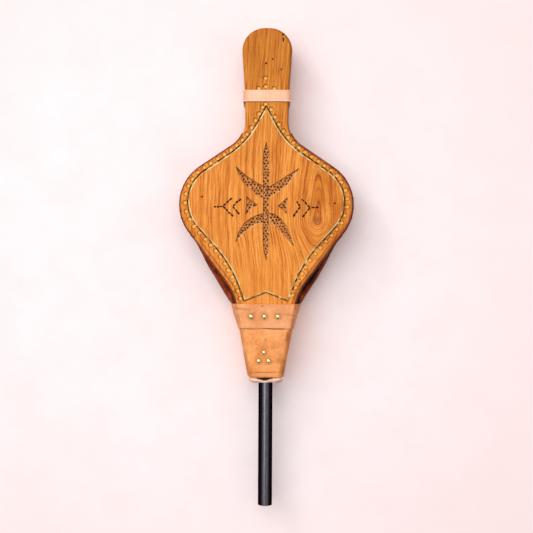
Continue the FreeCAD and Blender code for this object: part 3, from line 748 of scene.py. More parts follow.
def carve(p):
    """Depth and colour weights of the carving at the rows of p."""
    made = {key: np.zeros(len(p)) for key in ("depth", "soot", "stain", "raw", "gold")}

    def deepen(rows, **values):
        for key, value in values.items():
            made[key][rows] = np.maximum(made[key][rows], value)

    def around(x, y, reach):
        """The rows near a point, where they lie from it, and how far off."""
        rows = np.where((np.abs(p[:, 0] - x) < reach) & (np.abs(p[:, 1] - y) < reach))[0]
        q = p[rows] - (x, y)
        return rows, q, np.hypot(*q.T)

    d = line_distance(p, border)
    bite = GROOVE_DEPTH * (1 + 0.16 * noise(p, 9.0, 4))
    inner_side = inside(p, border)
    in_cut = limit((GROOVE_HALF + 0.02 - d) / 0.12)
    flaked = limit(0.8 + 1.1 * noise(p, 3.4, 14), 0.12)
    stray = limit(noise(p, 2.6, 15) * 3.0 - 1.1)
    on_lip = limit((GROOVE_LIP + 0.02 - d) / 0.12)
    # the groove: dark wax and painted shade in its outer wall and floor; raw wood, brightened as a painted
    # highlight, on its inner lip and in stray streaks on its outer wall
    deepen(slice(None), depth=bite * limit((GROOVE_HALF - d) / (GROOVE_HALF - 0.12)),
           soot=in_cut * np.where(inner_side, 0.25 * (d < 0.5), 1.0 - 0.8 * stray),
           raw=np.where(inner_side & (d > 0.3), on_lip * flaked, 0.8 * in_cut * stray))
    for corners, ring in zip(POCKETS, panel_tops):
        near = np.where(((p > ring.min(0) - 0.5) & (p < ring.max(0) + 0.5)).all(1))[0]
        q = p[near]
        sunk = np.where(inside(q, ring), line_distance(q, ring), 0.0)
        facing = wall_facing(q, ring)
        within = (sunk > 0) | (line_distance(q, ring) < 0.02)
        wall = (sunk > 0.02) * limit((0.74 - sunk) / 0.3)
        narrow = np.zeros(len(q))
        for x, y in [tip for tip in SHARP_TIPS if tip in corners]:
            narrow = np.maximum(narrow, limit(1.3 - np.hypot(q[:, 0] - x, q[:, 1] - y) / 3.4))
        # painted shade on the walls turned from the light and dark in the tips too narrow to cut clean; a
        # painted highlight on the walls facing the light
        deepen(near, depth=POCKET_DEPTH * limit(sunk / 0.26) + 0.1 * noise(q, 1.2, 9) * (sunk > 0.4),
               stain=limit(sunk / 0.12),
               soot=np.maximum(wall * limit(0.52 + 0.75 * facing, 0, 0.95), within * 0.85 * narrow),
               raw=wall * limit(-0.6 * facing - narrow, 0, 0.5))
    for cx, cy, r, ox, oy in punches:
        near, q, d = around(cx, cy, r * 1.2)
        outward = (q[:, 0] * ox + q[:, 1] * oy) / r
        lit = (q[:, 0] * 0.62 - q[:, 1] * 0.5) / r
        bowl = limit((r * 0.8 - d) / (r * 0.2))
        lip = limit(1 - np.abs(d - r) / (r * 0.15)) * limit(1 - 2 * made["raw"][near])
        # gold on each floor, with a painted highlight on its side toward the light; painted shade on the
        # outer lip, away from the light
        deepen(near, depth=(0.62 + 0.26 * outward) * limit((r - d) / (r * 0.15)),
               gold=bowl * limit(0.58 - 0.4 * outward + 0.35 * lit),
               soot=lip * limit(0.62 + 0.5 * outward - 0.2 * lit, 0.15, 0.95))
    # the pricked dots, nail holes and chisel dashes are filled dark with wax and painted shade; the bruises,
    # cut as dashes, are dark too
    for cx, cy, r in dots:
        near, _, d = around(cx, cy, r + 0.1)
        deepen(near, depth=(d < r) * (POCKET_DEPTH + 0.8 * limit((r - d) / (r * 0.4))),
               soot=limit((r * 0.98 - d) / (r * 0.3)))
    for cx, cy, r in NAIL_HOLES:
        near, _, d = around(cx, cy, r + 0.1)
        deepen(near, depth=HOLE_DEPTH * limit((r - d) / (r * 0.35)), soot=limit((r * 0.99 - d) / (r * 0.25)))
    for cx, cy, turn, half_l, half_w in dashes:
        near, q, _ = around(cx, cy, half_l + 0.8)
        u = np.abs(q[:, 0] * math.cos(turn) + q[:, 1] * math.sin(turn)) / half_l
        v = np.abs(q[:, 1] * math.cos(turn) - q[:, 0] * math.sin(turn)) / half_w
        power = 2 / DASH_SQUARE
        t = limit((0.985 - (u ** power + v ** power) ** (1 / power)) / 0.25)
        deepen(near, depth=DASH_DEPTH * t, soot=limit(t * 1.6))
    housed = (np.abs(p[:, 0]) < HOUSING_HALF + 0.05) & (p[:, 1] < HINGE_Y + HOUSING_REACH + 0.05)
    made["depth"][housed] = HOUSING_DEPTH
    return made.pop("depth"), made


def hang_skirt(verts, faces, attributes, rim_ids, levels):
    """Side walls hung from the rim of a face that runs clockwise, and the closing face below.
    levels: how far in and how high each ring lies, from the rim down."""
    corners, previous = [verts[k][:2] for k in rim_ids], list(rim_ids)
    n = len(corners)
    for inset, z in levels:
        ids = range(len(verts), len(verts) + n)
        for k, (x, y) in enumerate(corners):
            way = unit(corners[k - 1], corners[(k + 1) % n])
            verts.append((x + way[1] * inset, y - way[0] * inset, z))
            faces.append((previous[k], previous[(k + 1) % n], ids[(k + 1) % n], ids[k]))
        for key, values in attributes.items():
            values += [SIDE_SHADE if key == "rim" else 0.0] * n
        previous = ids
    faces.append(tuple(previous))


plan, faces, rim_ids = front.solve(outline, GRID_STEP, GRID_CLEAR)
depth, weights = carve(plan)
from_edge = line_distance(plan, outline)
# the carver's centre line leans a little to the left of the board's
above_nose = smooth((plan[:, 1] + 45.0) / 10.0)
plan[:, 0] += LEAN * (plan[:, 1] - LEAN_FROM_Y) * smooth(from_edge / 5.0) * above_nose
from_edge = line_distance(plan, outline)
waves = 0.09 * noise(plan, 26.0, 5) + 0.03 * noise(plan * (1.0, 0.2), 2.2, 6)
z_top = Z_FRONT_OUT - 0.12 - rim_drop(plan) - depth + waves * limit(from_edge / 6.0)
# the rim is dark with handling and painted shade, the painted shade heaviest down its right side, away from
# the light, and a line is worn beside it below
edge_dark = limit(1 - from_edge / 2.2)
on_right = limit(plan[:, 0] / np.where(plan[:, 1] > 125, 20, 50))
worn_line = line_mark(from_edge, 3.0, 0.45) * limit((45 - plan[:, 1]) / 30)
weights["rim"] = limit(0.25 * edge_dark + 0.75 * edge_dark * on_right + 0.75 * worn_line)
verts = [(*p, z) for p, z in zip(plan, z_top)]
attributes = {key: list(values) for key, values in weights.items()}
hang_skirt(verts, faces, attributes, rim_ids,
           [(0.0, Z_FRONT_OUT - 3.2), (0.0, Z_FRONT_IN + 1.0), (0.25, Z_FRONT_IN + 0.3), (0.9, Z_FRONT_IN)])
front_obj = new_object("front_board_carved", verts, faces, WOOD_FRONT, 28, attributes, recalculate=False)
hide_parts("front_board")
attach(front_obj, "front")

# ---- leather pieces: closed skins with real thickness, lips, creases and handling marks ----

def closed_skin(name, rings, material, fold, cut, close_rows=True):
    """A closed skin through equal rings of points. fold and cut: the weights of each ring's points."""
    faces = ring_faces(len(rings), len(rings[0]), close_rows)
    return new_object(name, np.vstack(rings), faces, material, 50,
                      {"fold": np.concatenate(fold), "cut": np.concatenate(cut)})


def box_ring(half_w, z_low, z_high, radius, out, counts, tall=1.0):
    """Points round a rounded rectangle in x and z, moved out by `out`, with their normals.
    The corners are `tall` times as high as they are wide. counts: per flat, corner and side."""
    flat, corner, side = counts
    rx, rz = radius, radius * tall
    w = half_w - rx
    middles = [(w, z_high - rz), (-w, z_high - rz), (-w, z_low + rz), (w, z_low + rz)]
    points, normals = [], []
    for i, (cx, cz) in enumerate(middles):
        for k in range(corner + 1):
            turn = math.radians(90 * i + 90 * k / corner)
            nx, nz = math.cos(turn) / rx, math.sin(turn) / rz
            size = math.hypot(nx, nz)
            normals.append((nx / size, nz / size))
            points.append((cx + rx * math.cos(turn), cz + rz * math.sin(turn)))
        turn = math.radians(90 * i + 90)
        nx, nz = math.cos(turn), math.sin(turn)
        straight = between((cx, cz), middles[(i + 1) % 4], side if i % 2 else flat)
        points += [(px + rx * nx, pz + rz * nz) for px, pz in straight]
        normals += [(nx, nz)] * len(straight)
    normals = np.array(normals)
    return np.array(points) + normals * out, normals


def standing(flat, y):
    """Points of x and z, set up at y."""
    return np.column_stack([flat[:, 0], np.full(len(flat), y), flat[:, 1]])


def sleeve(name, ends, wall, rows, relief, material, counts, ragged=0.25, lip=0.35, seed=0, tall=(1.0, 1.0)):
    """A leather sleeve between two rounded sections, each given as y, half width, low, high, corner radius.
    relief(points, normals) gives extra height, fold and cut."""
    (y0, *first), (y1, *last) = ends
    length = abs(y1 - y0)
    e = lip / length
    # along the face, over the lip, back inside and out over the other lip: place, how far out, on the face
    stations = [(v, wall, True) for v in np.linspace(e, 1 - e, rows)]
    stations += [(1 - e * 0.25, wall * 0.72, False), (1.0, wall * 0.3, False), (1 - e, 0.0, False)]
    stations += [(v, 0.0, False) for v in np.linspace(0.9, 0.1, 4)]
    stations += [(e, 0.0, False), (0.0, wall * 0.3, False), (e * 0.25, wall * 0.72, False)]
    rings, fold, cut = [], [], []
    for v, out, on_face in stations:
        section = [a + (b - a) * v for a, b in zip(first, last)]
        flat, normals = box_ring(*section, out, counts, tall[0] + (tall[1] - tall[0]) * v)
        p, n = standing(flat, y0 + (y1 - y0) * v), standing(normals, 0.0)
        from_end = min(v, 1 - v) * length
        p[:, 1] += noise(p * (1, 0, 1), 7.0, seed + int(v > 0.5)) * ragged * max(0.0, 1 - from_end / 5.0)
        extra, f, c = relief(p, n)
        if on_face:
            p = p + n * (extra * limit((from_end - lip) / 1.5))[:, None]
        rings.append(p)
        fold.append(f if on_face else f * 0.5)
        cut.append(np.maximum(c, 0.0 if on_face else 0.8) if out > 0 else np.zeros(len(p)))
    return closed_skin(name, rings, material, fold, cut)


TACKS_BAND = [(-14.1, -48.0), (-1.4, -48.0), (11.6, -48.0)]
TACKS_WRAP = [(-1.7, -82.3), (-6.5, -90.6), (3.0, -90.6)]


def dimples(x, y, spots, radius):
    """1 in a ring round each tack, where the leather is pulled in."""
    sunk = np.zeros(len(x))
    for sx, sy in spots:
        d = np.hypot(x - sx, y - sy)
        sunk += line_mark(d, radius, radius * 0.55) * (d < radius * 3)
    return sunk


def lumps(p, *waves):
    """Several noises together: height, cell, seed."""
    return sum(height * noise(p, cell, seed) for height, cell, seed in waves)


def band_relief(p, n):
    x, y, up = p[:, 0], p[:, 1], n[:, 2]
    face = limit(up)
    drag = line_mark(y + 0.12 * x, -43.5 + 0.8 * noise(p, 9.0, 24), 0.7) * face
    drag *= (x < -15) + 0.6 * (x > 17)
    seam = limit(-up) * line_mark(x, 5.0 + 0.3 * noise(p, 9.0, 27), 0.45)
    scuff = line_mark(x, -3.6, 1.3) * line_mark(y, -37.8, 0.42)
    scuff += 0.6 * line_mark(x, 2.0, 1.0) * line_mark(y, -37.2, 0.3)
    extra = lumps(p, (0.16, 9.0, 21), (0.09, 3.2, 22), (0.04, 1.3, 23))
    extra += -0.3 * drag - 0.6 * seam - 0.28 * dimples(x, y, TACKS_BAND, 3.0)
    # it is rubbed dark where it turns over the board's edge, and painted shade is added there, heaviest down
    # its right side, away from the light
    turn = limit((0.93 - up) / 0.12) * limit((up + 0.1) / 0.5)
    ridge = limit(1 - np.abs(up - 0.9) / 0.08)
    blot = limit(0.5 + noise(p, 4.0, 28))
    fold = turn * np.where(x > 0, 0.55, 0.3) * (0.5 + 0.5 * blot)
    fold += ridge * np.where(x > 0, 0.75, 0.45) * (0.35 + 0.65 * blot)
    fold += 0.45 * drag + 0.8 * seam + scuff * face + 0.2 * dimples(x, y, TACKS_BAND, 3.2)
    # a painted shade line just above its lower edge
    fold += 0.5 * line_mark(y, -59.0, 0.5) * face * (0.6 + 0.4 * noise(p, 5.0, 29))
    return extra, limit(fold), 0.7 * line_mark(y, -58.3, 0.4) * face


def wrap_relief(p, n):
    x, y, up = p[:, 0], p[:, 1], n[:, 2]
    face = limit(up)
    crease = line_mark(y, -102.0 + 0.5 * noise(p, 6.0, 34), 0.5) * limit(1.6 - np.abs(x + 1.0) / 12.0)
    seam = limit(-up) * line_mark(x, -3.0 + 0.3 * noise(p, 9.0, 35), 0.45)
    extra = lumps(p, (0.2, 11.0, 31), (0.12, 4.0, 32), (0.05, 1.4, 33))
    extra += -0.42 * crease - 0.6 * seam - 0.26 * dimples(x, y, TACKS_WRAP, 2.7)
    patchy = limit(0.55 + 0.8 * noise(p * (1, 0.45, 1), 5.0, 37))
    # painted shade where it turns down its sides and on the face beside them, heavier on the right, away from
    # the light
    turn = limit((0.985 - up) / 0.06) * limit((up + 0.2) / 0.5)
    beside = face * limit(1 - (nose_half(y) + 1.8 - np.abs(x) - 4.0) / 2.0)
    corner = np.maximum(turn, beside * patchy)
    blot = limit(noise(p, 7.0, 36) * 1.6 - 0.5) * limit((-68 - y) / 20)
    marks = line_mark(x, -0.2, 0.7) * line_mark(y, -70.2, 0.9)
    marks += 0.7 * line_mark(x, -13.6, 0.8) * line_mark(y, -64.6, 0.8)
    fold = 0.75 * crease + 0.8 * seam + corner * (0.3 + 0.5 * patchy) * np.where(x > 0, 1.0, 0.62)
    fold += 0.4 * blot * face + 0.22 * dimples(x, y, TACKS_WRAP, 2.9) + 0.7 * marks * face
    return extra, limit(fold), np.zeros(len(p))


def strap_relief(p, n):
    x, y = p[:, 0], p[:, 1]
    bend = limit((np.abs(x) - 17.0) / 5.0) * np.abs(n[:, 2])
    edge = np.maximum(line_mark(y, 157.9, 0.45), 0.5 * line_mark(y, 168.1, 0.4))
    groove = line_mark(y, 159.2, 0.3) + line_mark(y, 166.9, 0.3)
    extra = lumps(p, (0.07, 6.0, 41), (0.05, 1.2, 42)) - 0.1 * groove
    return extra, limit(0.75 * bend + 0.15 * groove), edge * 0.9


WRAP_THICK = 1.8
BAND_Z = (Z_BACK_OUT - 0.05, Z_FRONT_OUT + 0.05)
band = sleeve("hinge_band_leather", [(-36.0, 32.3, *BAND_Z, 6.4), (HINGE_Y, 24.9, *BAND_Z, 2.8)],
              WRAP_THICK, 36, band_relief, LEATHER_BAND, (72, 16, 34), seed=3, tall=(2.1, 1.7))
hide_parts("hinge_band")

NOSE_THINNING = 6.2


def nose_section(y, extra):
    inset = NOSE_THINNING * (HINGE_Y - y) / (HINGE_Y - NOSE_END_Y)
    return y, nose_half(y) + extra, Z_BACK_OUT + inset - extra, Z_FRONT_OUT - inset + extra, 3.0 + extra


wrap = sleeve("nose_wrap_leather", [nose_section(HINGE_Y - 0.4, 0.05), nose_section(-106.3, 0.05)],
              WRAP_THICK, 70, wrap_relief, LEATHER_WRAP, (72, 14, 36), seed=5)
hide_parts("nose_wrap")
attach(wrap, "back")

STRAP_Y, STRAP_HALF, STRAP_THICK = 163.0, 5.5, 1.2
STRAP_Z = (Z_BACK_OUT - 0.25, Z_FRONT_OUT + 0.25)
STRAP_LOW = STRAP_Z[0] - STRAP_THICK
strap_ends = [(STRAP_Y + side * STRAP_HALF, 21.75, *STRAP_Z, 2.4) for side in (-1, 1)]
strap = sleeve("keeper_strap_loop", strap_ends, STRAP_THICK, 18, strap_relief, LEATHER_STRAP, (60, 8, 50),
               ragged=0.16, lip=0.3, seed=7)

# the strap's lapped end lies outside it, across the back
rings, fold, cut = [], [], []
for x in np.concatenate([[-16.0, -15.8, -15.3], np.linspace(-14, 14, 36), [15.3, 15.8, 16.0]]):
    pinch = 1 - 0.55 * max(0.0, (abs(x) - 15.1) / 0.9)
    half = 5.4 * (1 - 0.12 * max(0.0, (abs(x) - 14.5) / 1.5))
    u, v = squared_circle(22, 0.35)
    ring = np.column_stack([np.full(22, x), STRAP_Y + half * u, STRAP_LOW - 0.6 + 0.59 * pinch * v])
    ring[:, 2] += 0.05 * noise(ring, 3.0, 44) * (v < 0)
    rings.append(ring)
    fold.append(np.full(22, 0.3 * (abs(x) > 14)))
    cut.append(limit((np.abs(u) - 0.9) * 8, 0, 0.8))
strap_lap = closed_skin("keeper_strap_lap", rings, LEATHER_STRAP, fold, cut, close_rows=False)
for piece in (strap, strap_lap):
    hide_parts("keeper_strap")
    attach(piece, "keeper")

# collar: a soft plug whose front lip is rolled and wavy, with the pipe through its middle
COLLAR_END_Y = -112.0
PIPE_HOLE = 6.72
collar_low, collar_high = Z_BACK_OUT + NOSE_THINNING + 0.6, Z_FRONT_OUT - NOSE_THINNING - 0.6
# its section, from the wrap out over the lip and back along the pipe: place, how far inward, how far out
collar_stations = [
    (0.0, 0.0, -0.5), (0.12, 0.0, -0.4), (0.3, 0.0, -0.1), (0.45, 0.0, 0.25), (0.6, 0.0, 0.4),
    (0.72, 0.0, 0.4), (0.84, 0.0, 0.2), (0.93, 0.0, -0.2), (0.97, 0.0, -0.7), (0.98, 0.12, 0.0),
    (0.9, 0.3, 0.0), (0.75, 0.55, 0.0), (0.72, 0.75, 0.0), (0.78, 0.9, 0.0), (0.84, 1.0, 0.0),
    (0.5, 1.0, 0.0), (0.0, 1.0, 0.0), (0.0, 0.5, 0.0),
]
rings, fold, cut = [], [], []
for v, inward, bulge in collar_stations:
    flat, normals = box_ring(NOSE_TIP_HALF + 0.6 - 0.4 * v, collar_low + 0.6 * v, collar_high - 0.6 * v,
                             4.0 + v, bulge, (60, 10, 40))
    x, front_side = flat[:, 0], limit(normals[:, 1])
    outside = front_side * (inward == 0)
    # the middle of the front lip is pinched in, which leaves a gap under the wrap, painted dark as shadow;
    # the hollows low at its sides and its inside along the pipe are painted dark as shade too
    lip_at = 0.34 + 0.38 * line_mark(x, -0.9, 6.0)
    gap = outside * smooth((9.0 - np.abs(x + 0.9)) / 2.5) * smooth((lip_at - 0.1 - v) / 0.14)
    lip = outside * line_mark(v, lip_at, 0.13)
    hollow = front_side * smooth((v - 0.7) / 0.15) * (line_mark(x, -9.6, 2.2) + line_mark(x, 12.4, 1.9))
    flat = flat + normals * (0.45 * lip - 1.6 * gap - 1.0 * hollow)[:, None]
    angle = np.arctan2(flat[:, 1] - Z_MID, flat[:, 0])
    hole = np.column_stack([PIPE_HOLE * np.cos(angle), Z_MID + PIPE_HOLE * np.sin(angle)])
    p = standing(flat + (hole - flat) * inward, NOSE_END_Y + (COLLAR_END_Y - NOSE_END_Y) * v)
    wave = noise(p * (1, 0, 1), 5.0, 53) * 0.8 * min(1.0, v * 1.4)
    p[:, 1] = limit(p[:, 1] + wave, COLLAR_END_Y, NOSE_END_Y)
    rings.append(p)
    # its rolled lip is pale: the cut edge of the suede, with a painted highlight
    cut.append(limit(lip * 1.2 + 0.3 * line_mark(v, 0.9, 0.1) * (inward == 0)))
    fold.append(limit(np.maximum(gap * 1.3, hollow * 1.2) + min(1.0, inward * 1.6)))
collar = closed_skin("nose_collar_suede", rings, SUEDE, fold, cut)
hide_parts("nose_collar")
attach(collar, "back")

# ---- folding side ----
GUSSET_END_Y = HINGE_Y + 0.2
OUTER_LEVELS, INNER_LEVELS, SKIN_THICK = 23, 9, 1.1
# how many parts each arc and each line of the loop has, so that edge and fold have the same points
ARCS = [3, 6, 26, 26, 14, 1, 1, 14, 26, 26, 6, 3]
LINES = [4, 20, 14, 40, 18, 20, 18, 40, 14, 20, 4, 24]


def to_nose(corners):
    """The corner list with its last point moved along its side to the hinge line."""
    (x0, y0, _), (x1, y1, _) = corners[-2:]
    share = (GUSSET_END_Y - y0) / (y1 - y0)
    return corners[:-1] + [(x0 + (x1 - x0) * share, GUSSET_END_Y, 0.0)]


def open_loop(corners, grow):
    """The folding side's plan, from its left end at the nose round the handle to its right end."""
    corners = to_nose(corners)
    loop = loop_points(corners, 1.0, grow, ARCS, LINES)
    low_right = int(np.argmin(np.hypot(loop[:, 0] - corners[-1][0] - grow, loop[:, 1] - GUSSET_END_Y)))
    loop = np.roll(loop, -low_right, axis=0)
    # between the two nose ends there is no leather
    loop = np.vstack([loop[LINES[5]:], loop[:1]])
    loop[0, 1] = loop[-1, 1] = GUSSET_END_Y
    return loop


def gusset_rings(grow, levels, wrinkled):
    """Rows of points up the folded skin, and for each column whether the fold lies outside the edge."""
    edge, middle = open_loop(GUSSET_EDGE, grow), open_loop(GUSSET_FOLD, grow)
    tangent = directions(edge)
    normal = np.column_stack([-tangent[:, 1], tangent[:, 0]])
    run = np.concatenate([[0], np.cumsum(np.hypot(*np.diff(edge, axis=0).T))])
    outward = ((middle - edge) * normal).sum(1) > 0
    rings = []
    for t in levels:
        s = math.sin(math.pi * t)
        share = np.where(outward, s ** 0.62, 1 - abs(2 * t - 1) ** 1.35)
        z = np.full(len(run), Z_BACK_IN + (Z_FRONT_IN - Z_BACK_IN) * t)
        p = edge + (middle - edge) * share[:, None]
        if wrinkled:
            key = np.column_stack([run, z * 1.6])
            pleat = lumps(key, (0.8, 17.0, 61), (0.16, 2.4, 63)) + 0.45 * noise(key * (1, 1.7), 6.0, 62)
            bulge = 2.6 * smooth((34 - edge[:, 1]) / 26) * smooth((edge[:, 1] + 36.5) / 7)
            # it lies flat where the hinge band goes over it
            free = smooth((edge[:, 1] + 40.0) / 9.0)
            tucked = 0.8 * (1 - free) * s
            calm = np.where(outward, 0.45, 0.9)
            p = p + normal * (pleat * calm * s * free + bulge * s ** 0.62 - 0.3 * s - tucked)[:, None]
            z = z + 0.5 * s * noise(key * (1, 0), 15.0, 65)
        else:
            p = p - normal * 1.3 * s
        # the hinge band's inner face is the most it may fill
        room = np.interp(p[:, 1], (-60.0, -36.3, -35.7, -31.0, -30.0), (24.1, 31.6, 34.1, 38.0, 90.0))
        p[:, 0] = limit(p[:, 0], -room, room)
        p[0, 1] = p[-1, 1] = GUSSET_END_Y
        rings.append(np.column_stack([p, z]))
    return rings, outward


outer_levels = np.linspace(0, 1, OUTER_LEVELS)
outer, outward = gusset_rings(0.0, outer_levels, True)
inner, _ = gusset_rings(-SKIN_THICK, np.linspace(1, 0, INNER_LEVELS), False)
columns = len(outward)
skin = np.array(outer + inner)
# each column goes round the section, so the rings are the columns
faces = ring_faces(columns, len(skin))
skin = skin.transpose(1, 0, 2).reshape(-1, 3)
level = np.tile(np.concatenate([outer_levels, np.ones(INNER_LEVELS)]), columns)
fleck = noise(skin, 5.0, 66)
y, on_left = skin[:, 1], skin[:, 0] < 0
# painted shade where it turns in under the front board, heavier on the right, away from the light, and darker
# towards the back board; the outermost fold stays dull red-brown, with a painted highlight
under_lip = np.where(on_left,
                     limit((level - 0.8 + 0.16 * fleck) * 4.0, 0, 0.95) * smooth((14 - y) / 26),
                     limit((level - 0.66 + 0.12 * fleck) * 3.4, 0, 0.95) * smooth((45 - y) / 25))
fold_mark = limit(under_lip + limit((0.3 - level) * 1.5, 0, 0.35), 0, 0.95)
# a painted highlight along the outermost fold, strong on the left, toward the light, and faint on the right
highlight_band = line_mark(level, np.where(on_left, 0.6, 0.5), np.where(on_left, 0.2, 0.17)) * limit(0.6 + 0.9 * fleck)
highlight_band *= np.repeat(np.where(outward, 0.12, 0.9), OUTER_LEVELS + INNER_LEVELS)
painted_highlight = highlight_band * np.where(on_left, 0.8, 0.04) * (0.1 + 0.9 * smooth((60 - y) / 40))
painted_highlight[np.tile(np.arange(OUTER_LEVELS + INNER_LEVELS) >= OUTER_LEVELS, columns)] = 0

# the laps that are glued to the edges of both boards
LAP_HEIGHT, LAP_TOP_Y = 8.5, 128.9
longer_board = BOARD + [(nose_half(-70), -70.0, 0.0)]
lap_inside, lap_outside = (loop_points(longer_board, PLAN_STEP, grow) for grow in (0.05, 0.8))


def lap_strip(z_low, z_high, side):
    """Rings of a thin strip down one side of a board's edge. Its free edge is uneven."""
    x, y = lap_outside.T
    out = lap_outside[(x > 0) & (y < LAP_TOP_Y) & (y > GUSSET_END_Y)]
    base = lap_inside[((out[:, None] - lap_inside) ** 2).sum(2).argmin(1)]
    (x, y), (bx, by) = out.T, base.T
    mx, my = (base + (out - base) * (1.0 + 0.15 * noise(out, 4.0, 72))[:, None]).T
    uneven = 0.35 * noise(np.column_stack([out, np.full(len(out), z_low)]), 9.0, 71)
    on_back = z_low < Z_MID
    low, high = z_low + uneven * on_back, z_high + uneven * (not on_back)
    ring = [(bx, by, low), (bx, by, high), (mx, my, high - 0.1), (x, y, high - 0.5),
            (x, y, (low + high) / 2), (x, y, low + 0.5), (mx, my, low + 0.1)]
    return np.array(ring).transpose(2, 0, 1) * (side, 1, 1)


pieces, fold, cut = [skin], [fold_mark], [painted_highlight]
total = len(skin)
for z_low, z_high in ((Z_BACK_IN - LAP_HEIGHT, Z_BACK_IN), (Z_FRONT_IN, Z_FRONT_IN + LAP_HEIGHT)):
    for side in (1, -1):
        rings = lap_strip(z_low, z_high, side)
        faces += ring_faces(len(rings), len(rings[0]), first=total)
        pieces.append(np.vstack(rings))
        fold.append(np.full(len(pieces[-1]), 0.25))
        cut.append(np.zeros(len(pieces[-1])))
        total += len(pieces[-1])
gusset = new_object("gusset_leather_side", np.vstack(pieces), faces, LEATHER_GUSSET, 60,
                    {"fold": np.concatenate(fold), "cut": np.concatenate(cut)})
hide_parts("gusset")

# ---- leather plates ----

def plate_rings(spans, top_z, bottom_z, cols, seed, lump, crease):
    """Rings round a leather plate, with their fold and cut. spans: y, half width, share of the thickness.
    crease: where it folds, how wide and how dark."""
    middle, half_thick = (top_z + bottom_z) / 2, (top_z - bottom_z) / 2
    at, width, dark = crease
    is_top = np.arange(2 * cols) < cols
    rings, fold, cut = [], [], []
    for y, half, full in spans:
        x = np.concatenate([np.linspace(-half, half, cols), np.linspace(half, -half, cols)])
        edge = limit((half - np.abs(x)) / 0.5)
        thick = half_thick * full * (0.55 + 0.45 * np.sqrt(edge))
        ring = np.column_stack([x, np.full(2 * cols, y), middle + np.where(is_top, thick, -thick)])
        ring[:, 2] += lump * noise(ring, 6.0, seed) * is_top * edge * full
        rings.append(ring)
        fold.append(np.maximum(0.4 * (1 - edge), dark * line_mark(y, at, width)))
        cut.append(0.7 * (1 - edge) * ~is_top)
    return rings, fold, cut


# valve: one piece of leather, tacked along its tab and free to lift below the crease
VALVE_TOP, VALVE_LOW, VALVE_HALF = Z_BACK_IN + 1.9, Z_BACK_IN + 0.3, 19.0
VALVE_CORNER = 5.0
CREASE_Y = 66.15
TAB_Y = 68.5
spans = [(24.0, 14.2, 0.5), (24.12, 14.9, 0.85)]
spans += [(y, VALVE_HALF - VALVE_CORNER + math.sqrt(max(0.0, VALVE_CORNER ** 2 - (29.0 - y) ** 2)), 1.0)
          for y in np.linspace(24.4, 29.0, 8)]
spans += [(y, VALVE_HALF, 1.0) for y in np.linspace(30.0, 63.5, 30)]
spans += [(y, VALVE_HALF, 1.0 - 0.35 * line_mark(y, CREASE_Y, 0.8)) for y in np.linspace(64.0, TAB_Y, 16)]
spans += [(y, VALVE_HALF, 1.0) for y in np.linspace(69.2, 77.5, 9)]
spans += [(77.88, 18.8, 0.85), (78.0, 18.6, 0.5)]
rings, fold, cut = plate_rings(spans, VALVE_TOP, VALVE_LOW, 30, 81, 0.12, (CREASE_Y, 0.9, 0.7))
for ring in rings:
    # the tab lies on the board
    ring[ring[:, 2] < (VALVE_TOP + VALVE_LOW) / 2, 2] -= 0.28 * limit((ring[0, 1] - TAB_Y) / 1.5)
valve = closed_skin("valve_flap_leather", rings, LEATHER_VALVE, fold, cut, close_rows=False)
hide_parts("valve_flap", "valve_flap_tab")

# stop strap: a leather arch that keeps the open valve from turning over. x, height over the board
STOP_Y = 40.0
arch = [(34.0, 0.75), (29.0, 0.75), (24.9, 0.8), (23.6, 2.6), (22.6, 6.5), (21.7, 10.8), (20.6, 13.6),
        (18.4, 14.0), (12.0, 14.0), (4.0, 14.05)]
path = smoothed([(x, Z_BACK_IN + up) for x, up in arch + [(-x, up) for x, up in reversed(arch)]], 5)
rings, fold, cut = [], [], []
for k, ((x, z), (tx, tz)) in enumerate(zip(path, directions(path))):
    full = (0.5, 0.85, 1.0)[min(k, len(path) - 1 - k, 2)]
    u, v = squared_circle(24, 0.35)
    across = 0.68 * full * v
    ring = np.column_stack([x + tz * across, STOP_Y + (3.95 - 0.25 * (1 - full)) * u, z - tx * across])
    ring[:, 2] = np.maximum(ring[:, 2] + 0.04 * noise(ring, 3.0, 83), Z_BACK_IN + 0.02)
    rings.append(ring)
    fold.append(np.full(24, 0.4 * float(abs(tz) > 0.4)))
    cut.append(limit((np.abs(u) - 0.92) * 9, 0, 0.7))
stop = closed_skin("valve_stop_leather", rings, LEATHER_VALVE, fold, cut, close_rows=False)
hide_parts("valve_stop_strap")
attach(stop, "back")

# hinge strip, let in under the band
STRIP_TOP = Z_FRONT_OUT - 1.3
lower_end = [(-7.0, 17.8, 0.6), (-6.85, 17.95, 0.9)]
spans = lower_end + [(y, 18.0, 1.0) for y in np.linspace(-6.6, 6.6, 34)]
spans += [(-y, half, full) for y, half, full in reversed(lower_end)]
rings, fold, cut = plate_rings([(HINGE_Y + y, half, full) for y, half, full in spans],
                               STRIP_TOP, STRIP_TOP - 1.4, 26, 91, 0.05, (HINGE_Y, 1.0, 0.6))
strip = closed_skin("hinge_strip_leather", rings, LEATHER_VALVE, fold, cut, close_rows=False)
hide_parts("hinge_strip")


def row(x, y, z):
    """A point of the drawing in the row frame, in metres."""
    return x / 1000, (y + SHIFT_Y) / 1000, z / 1000


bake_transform(band)
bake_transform(gusset)
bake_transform(strip)
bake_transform(valve)

# ---- CAD nodes that are shown as they are get their finish ----
FINISHES = {
    WOOD_BACK: ["back_board"], WOOD_NOSE: ["nose_block", "nose_cap"],
    LEATHER_WELT: ["front_welt", "back_welt"],
    IRON: ["nozzle_pipe", "front_edge_tacks", "back_edge_tacks"],
    BRASS: ["hinge_strip_tacks_board", "hinge_strip_tacks_nose", "hinge_band_tacks_front",
            "hinge_band_tacks_back", "nose_wrap_tacks_front", "nose_wrap_tacks_back", "valve_flap_tacks",
            "valve_stop_tacks", "keeper_rivets"],
}
for material, names in FINISHES.items():
    for name in names:
        obj = nodes[name]
        if not obj.data.materials:
            obj.data.materials.append(material)
        for slot in obj.material_slots:
            slot.material = material

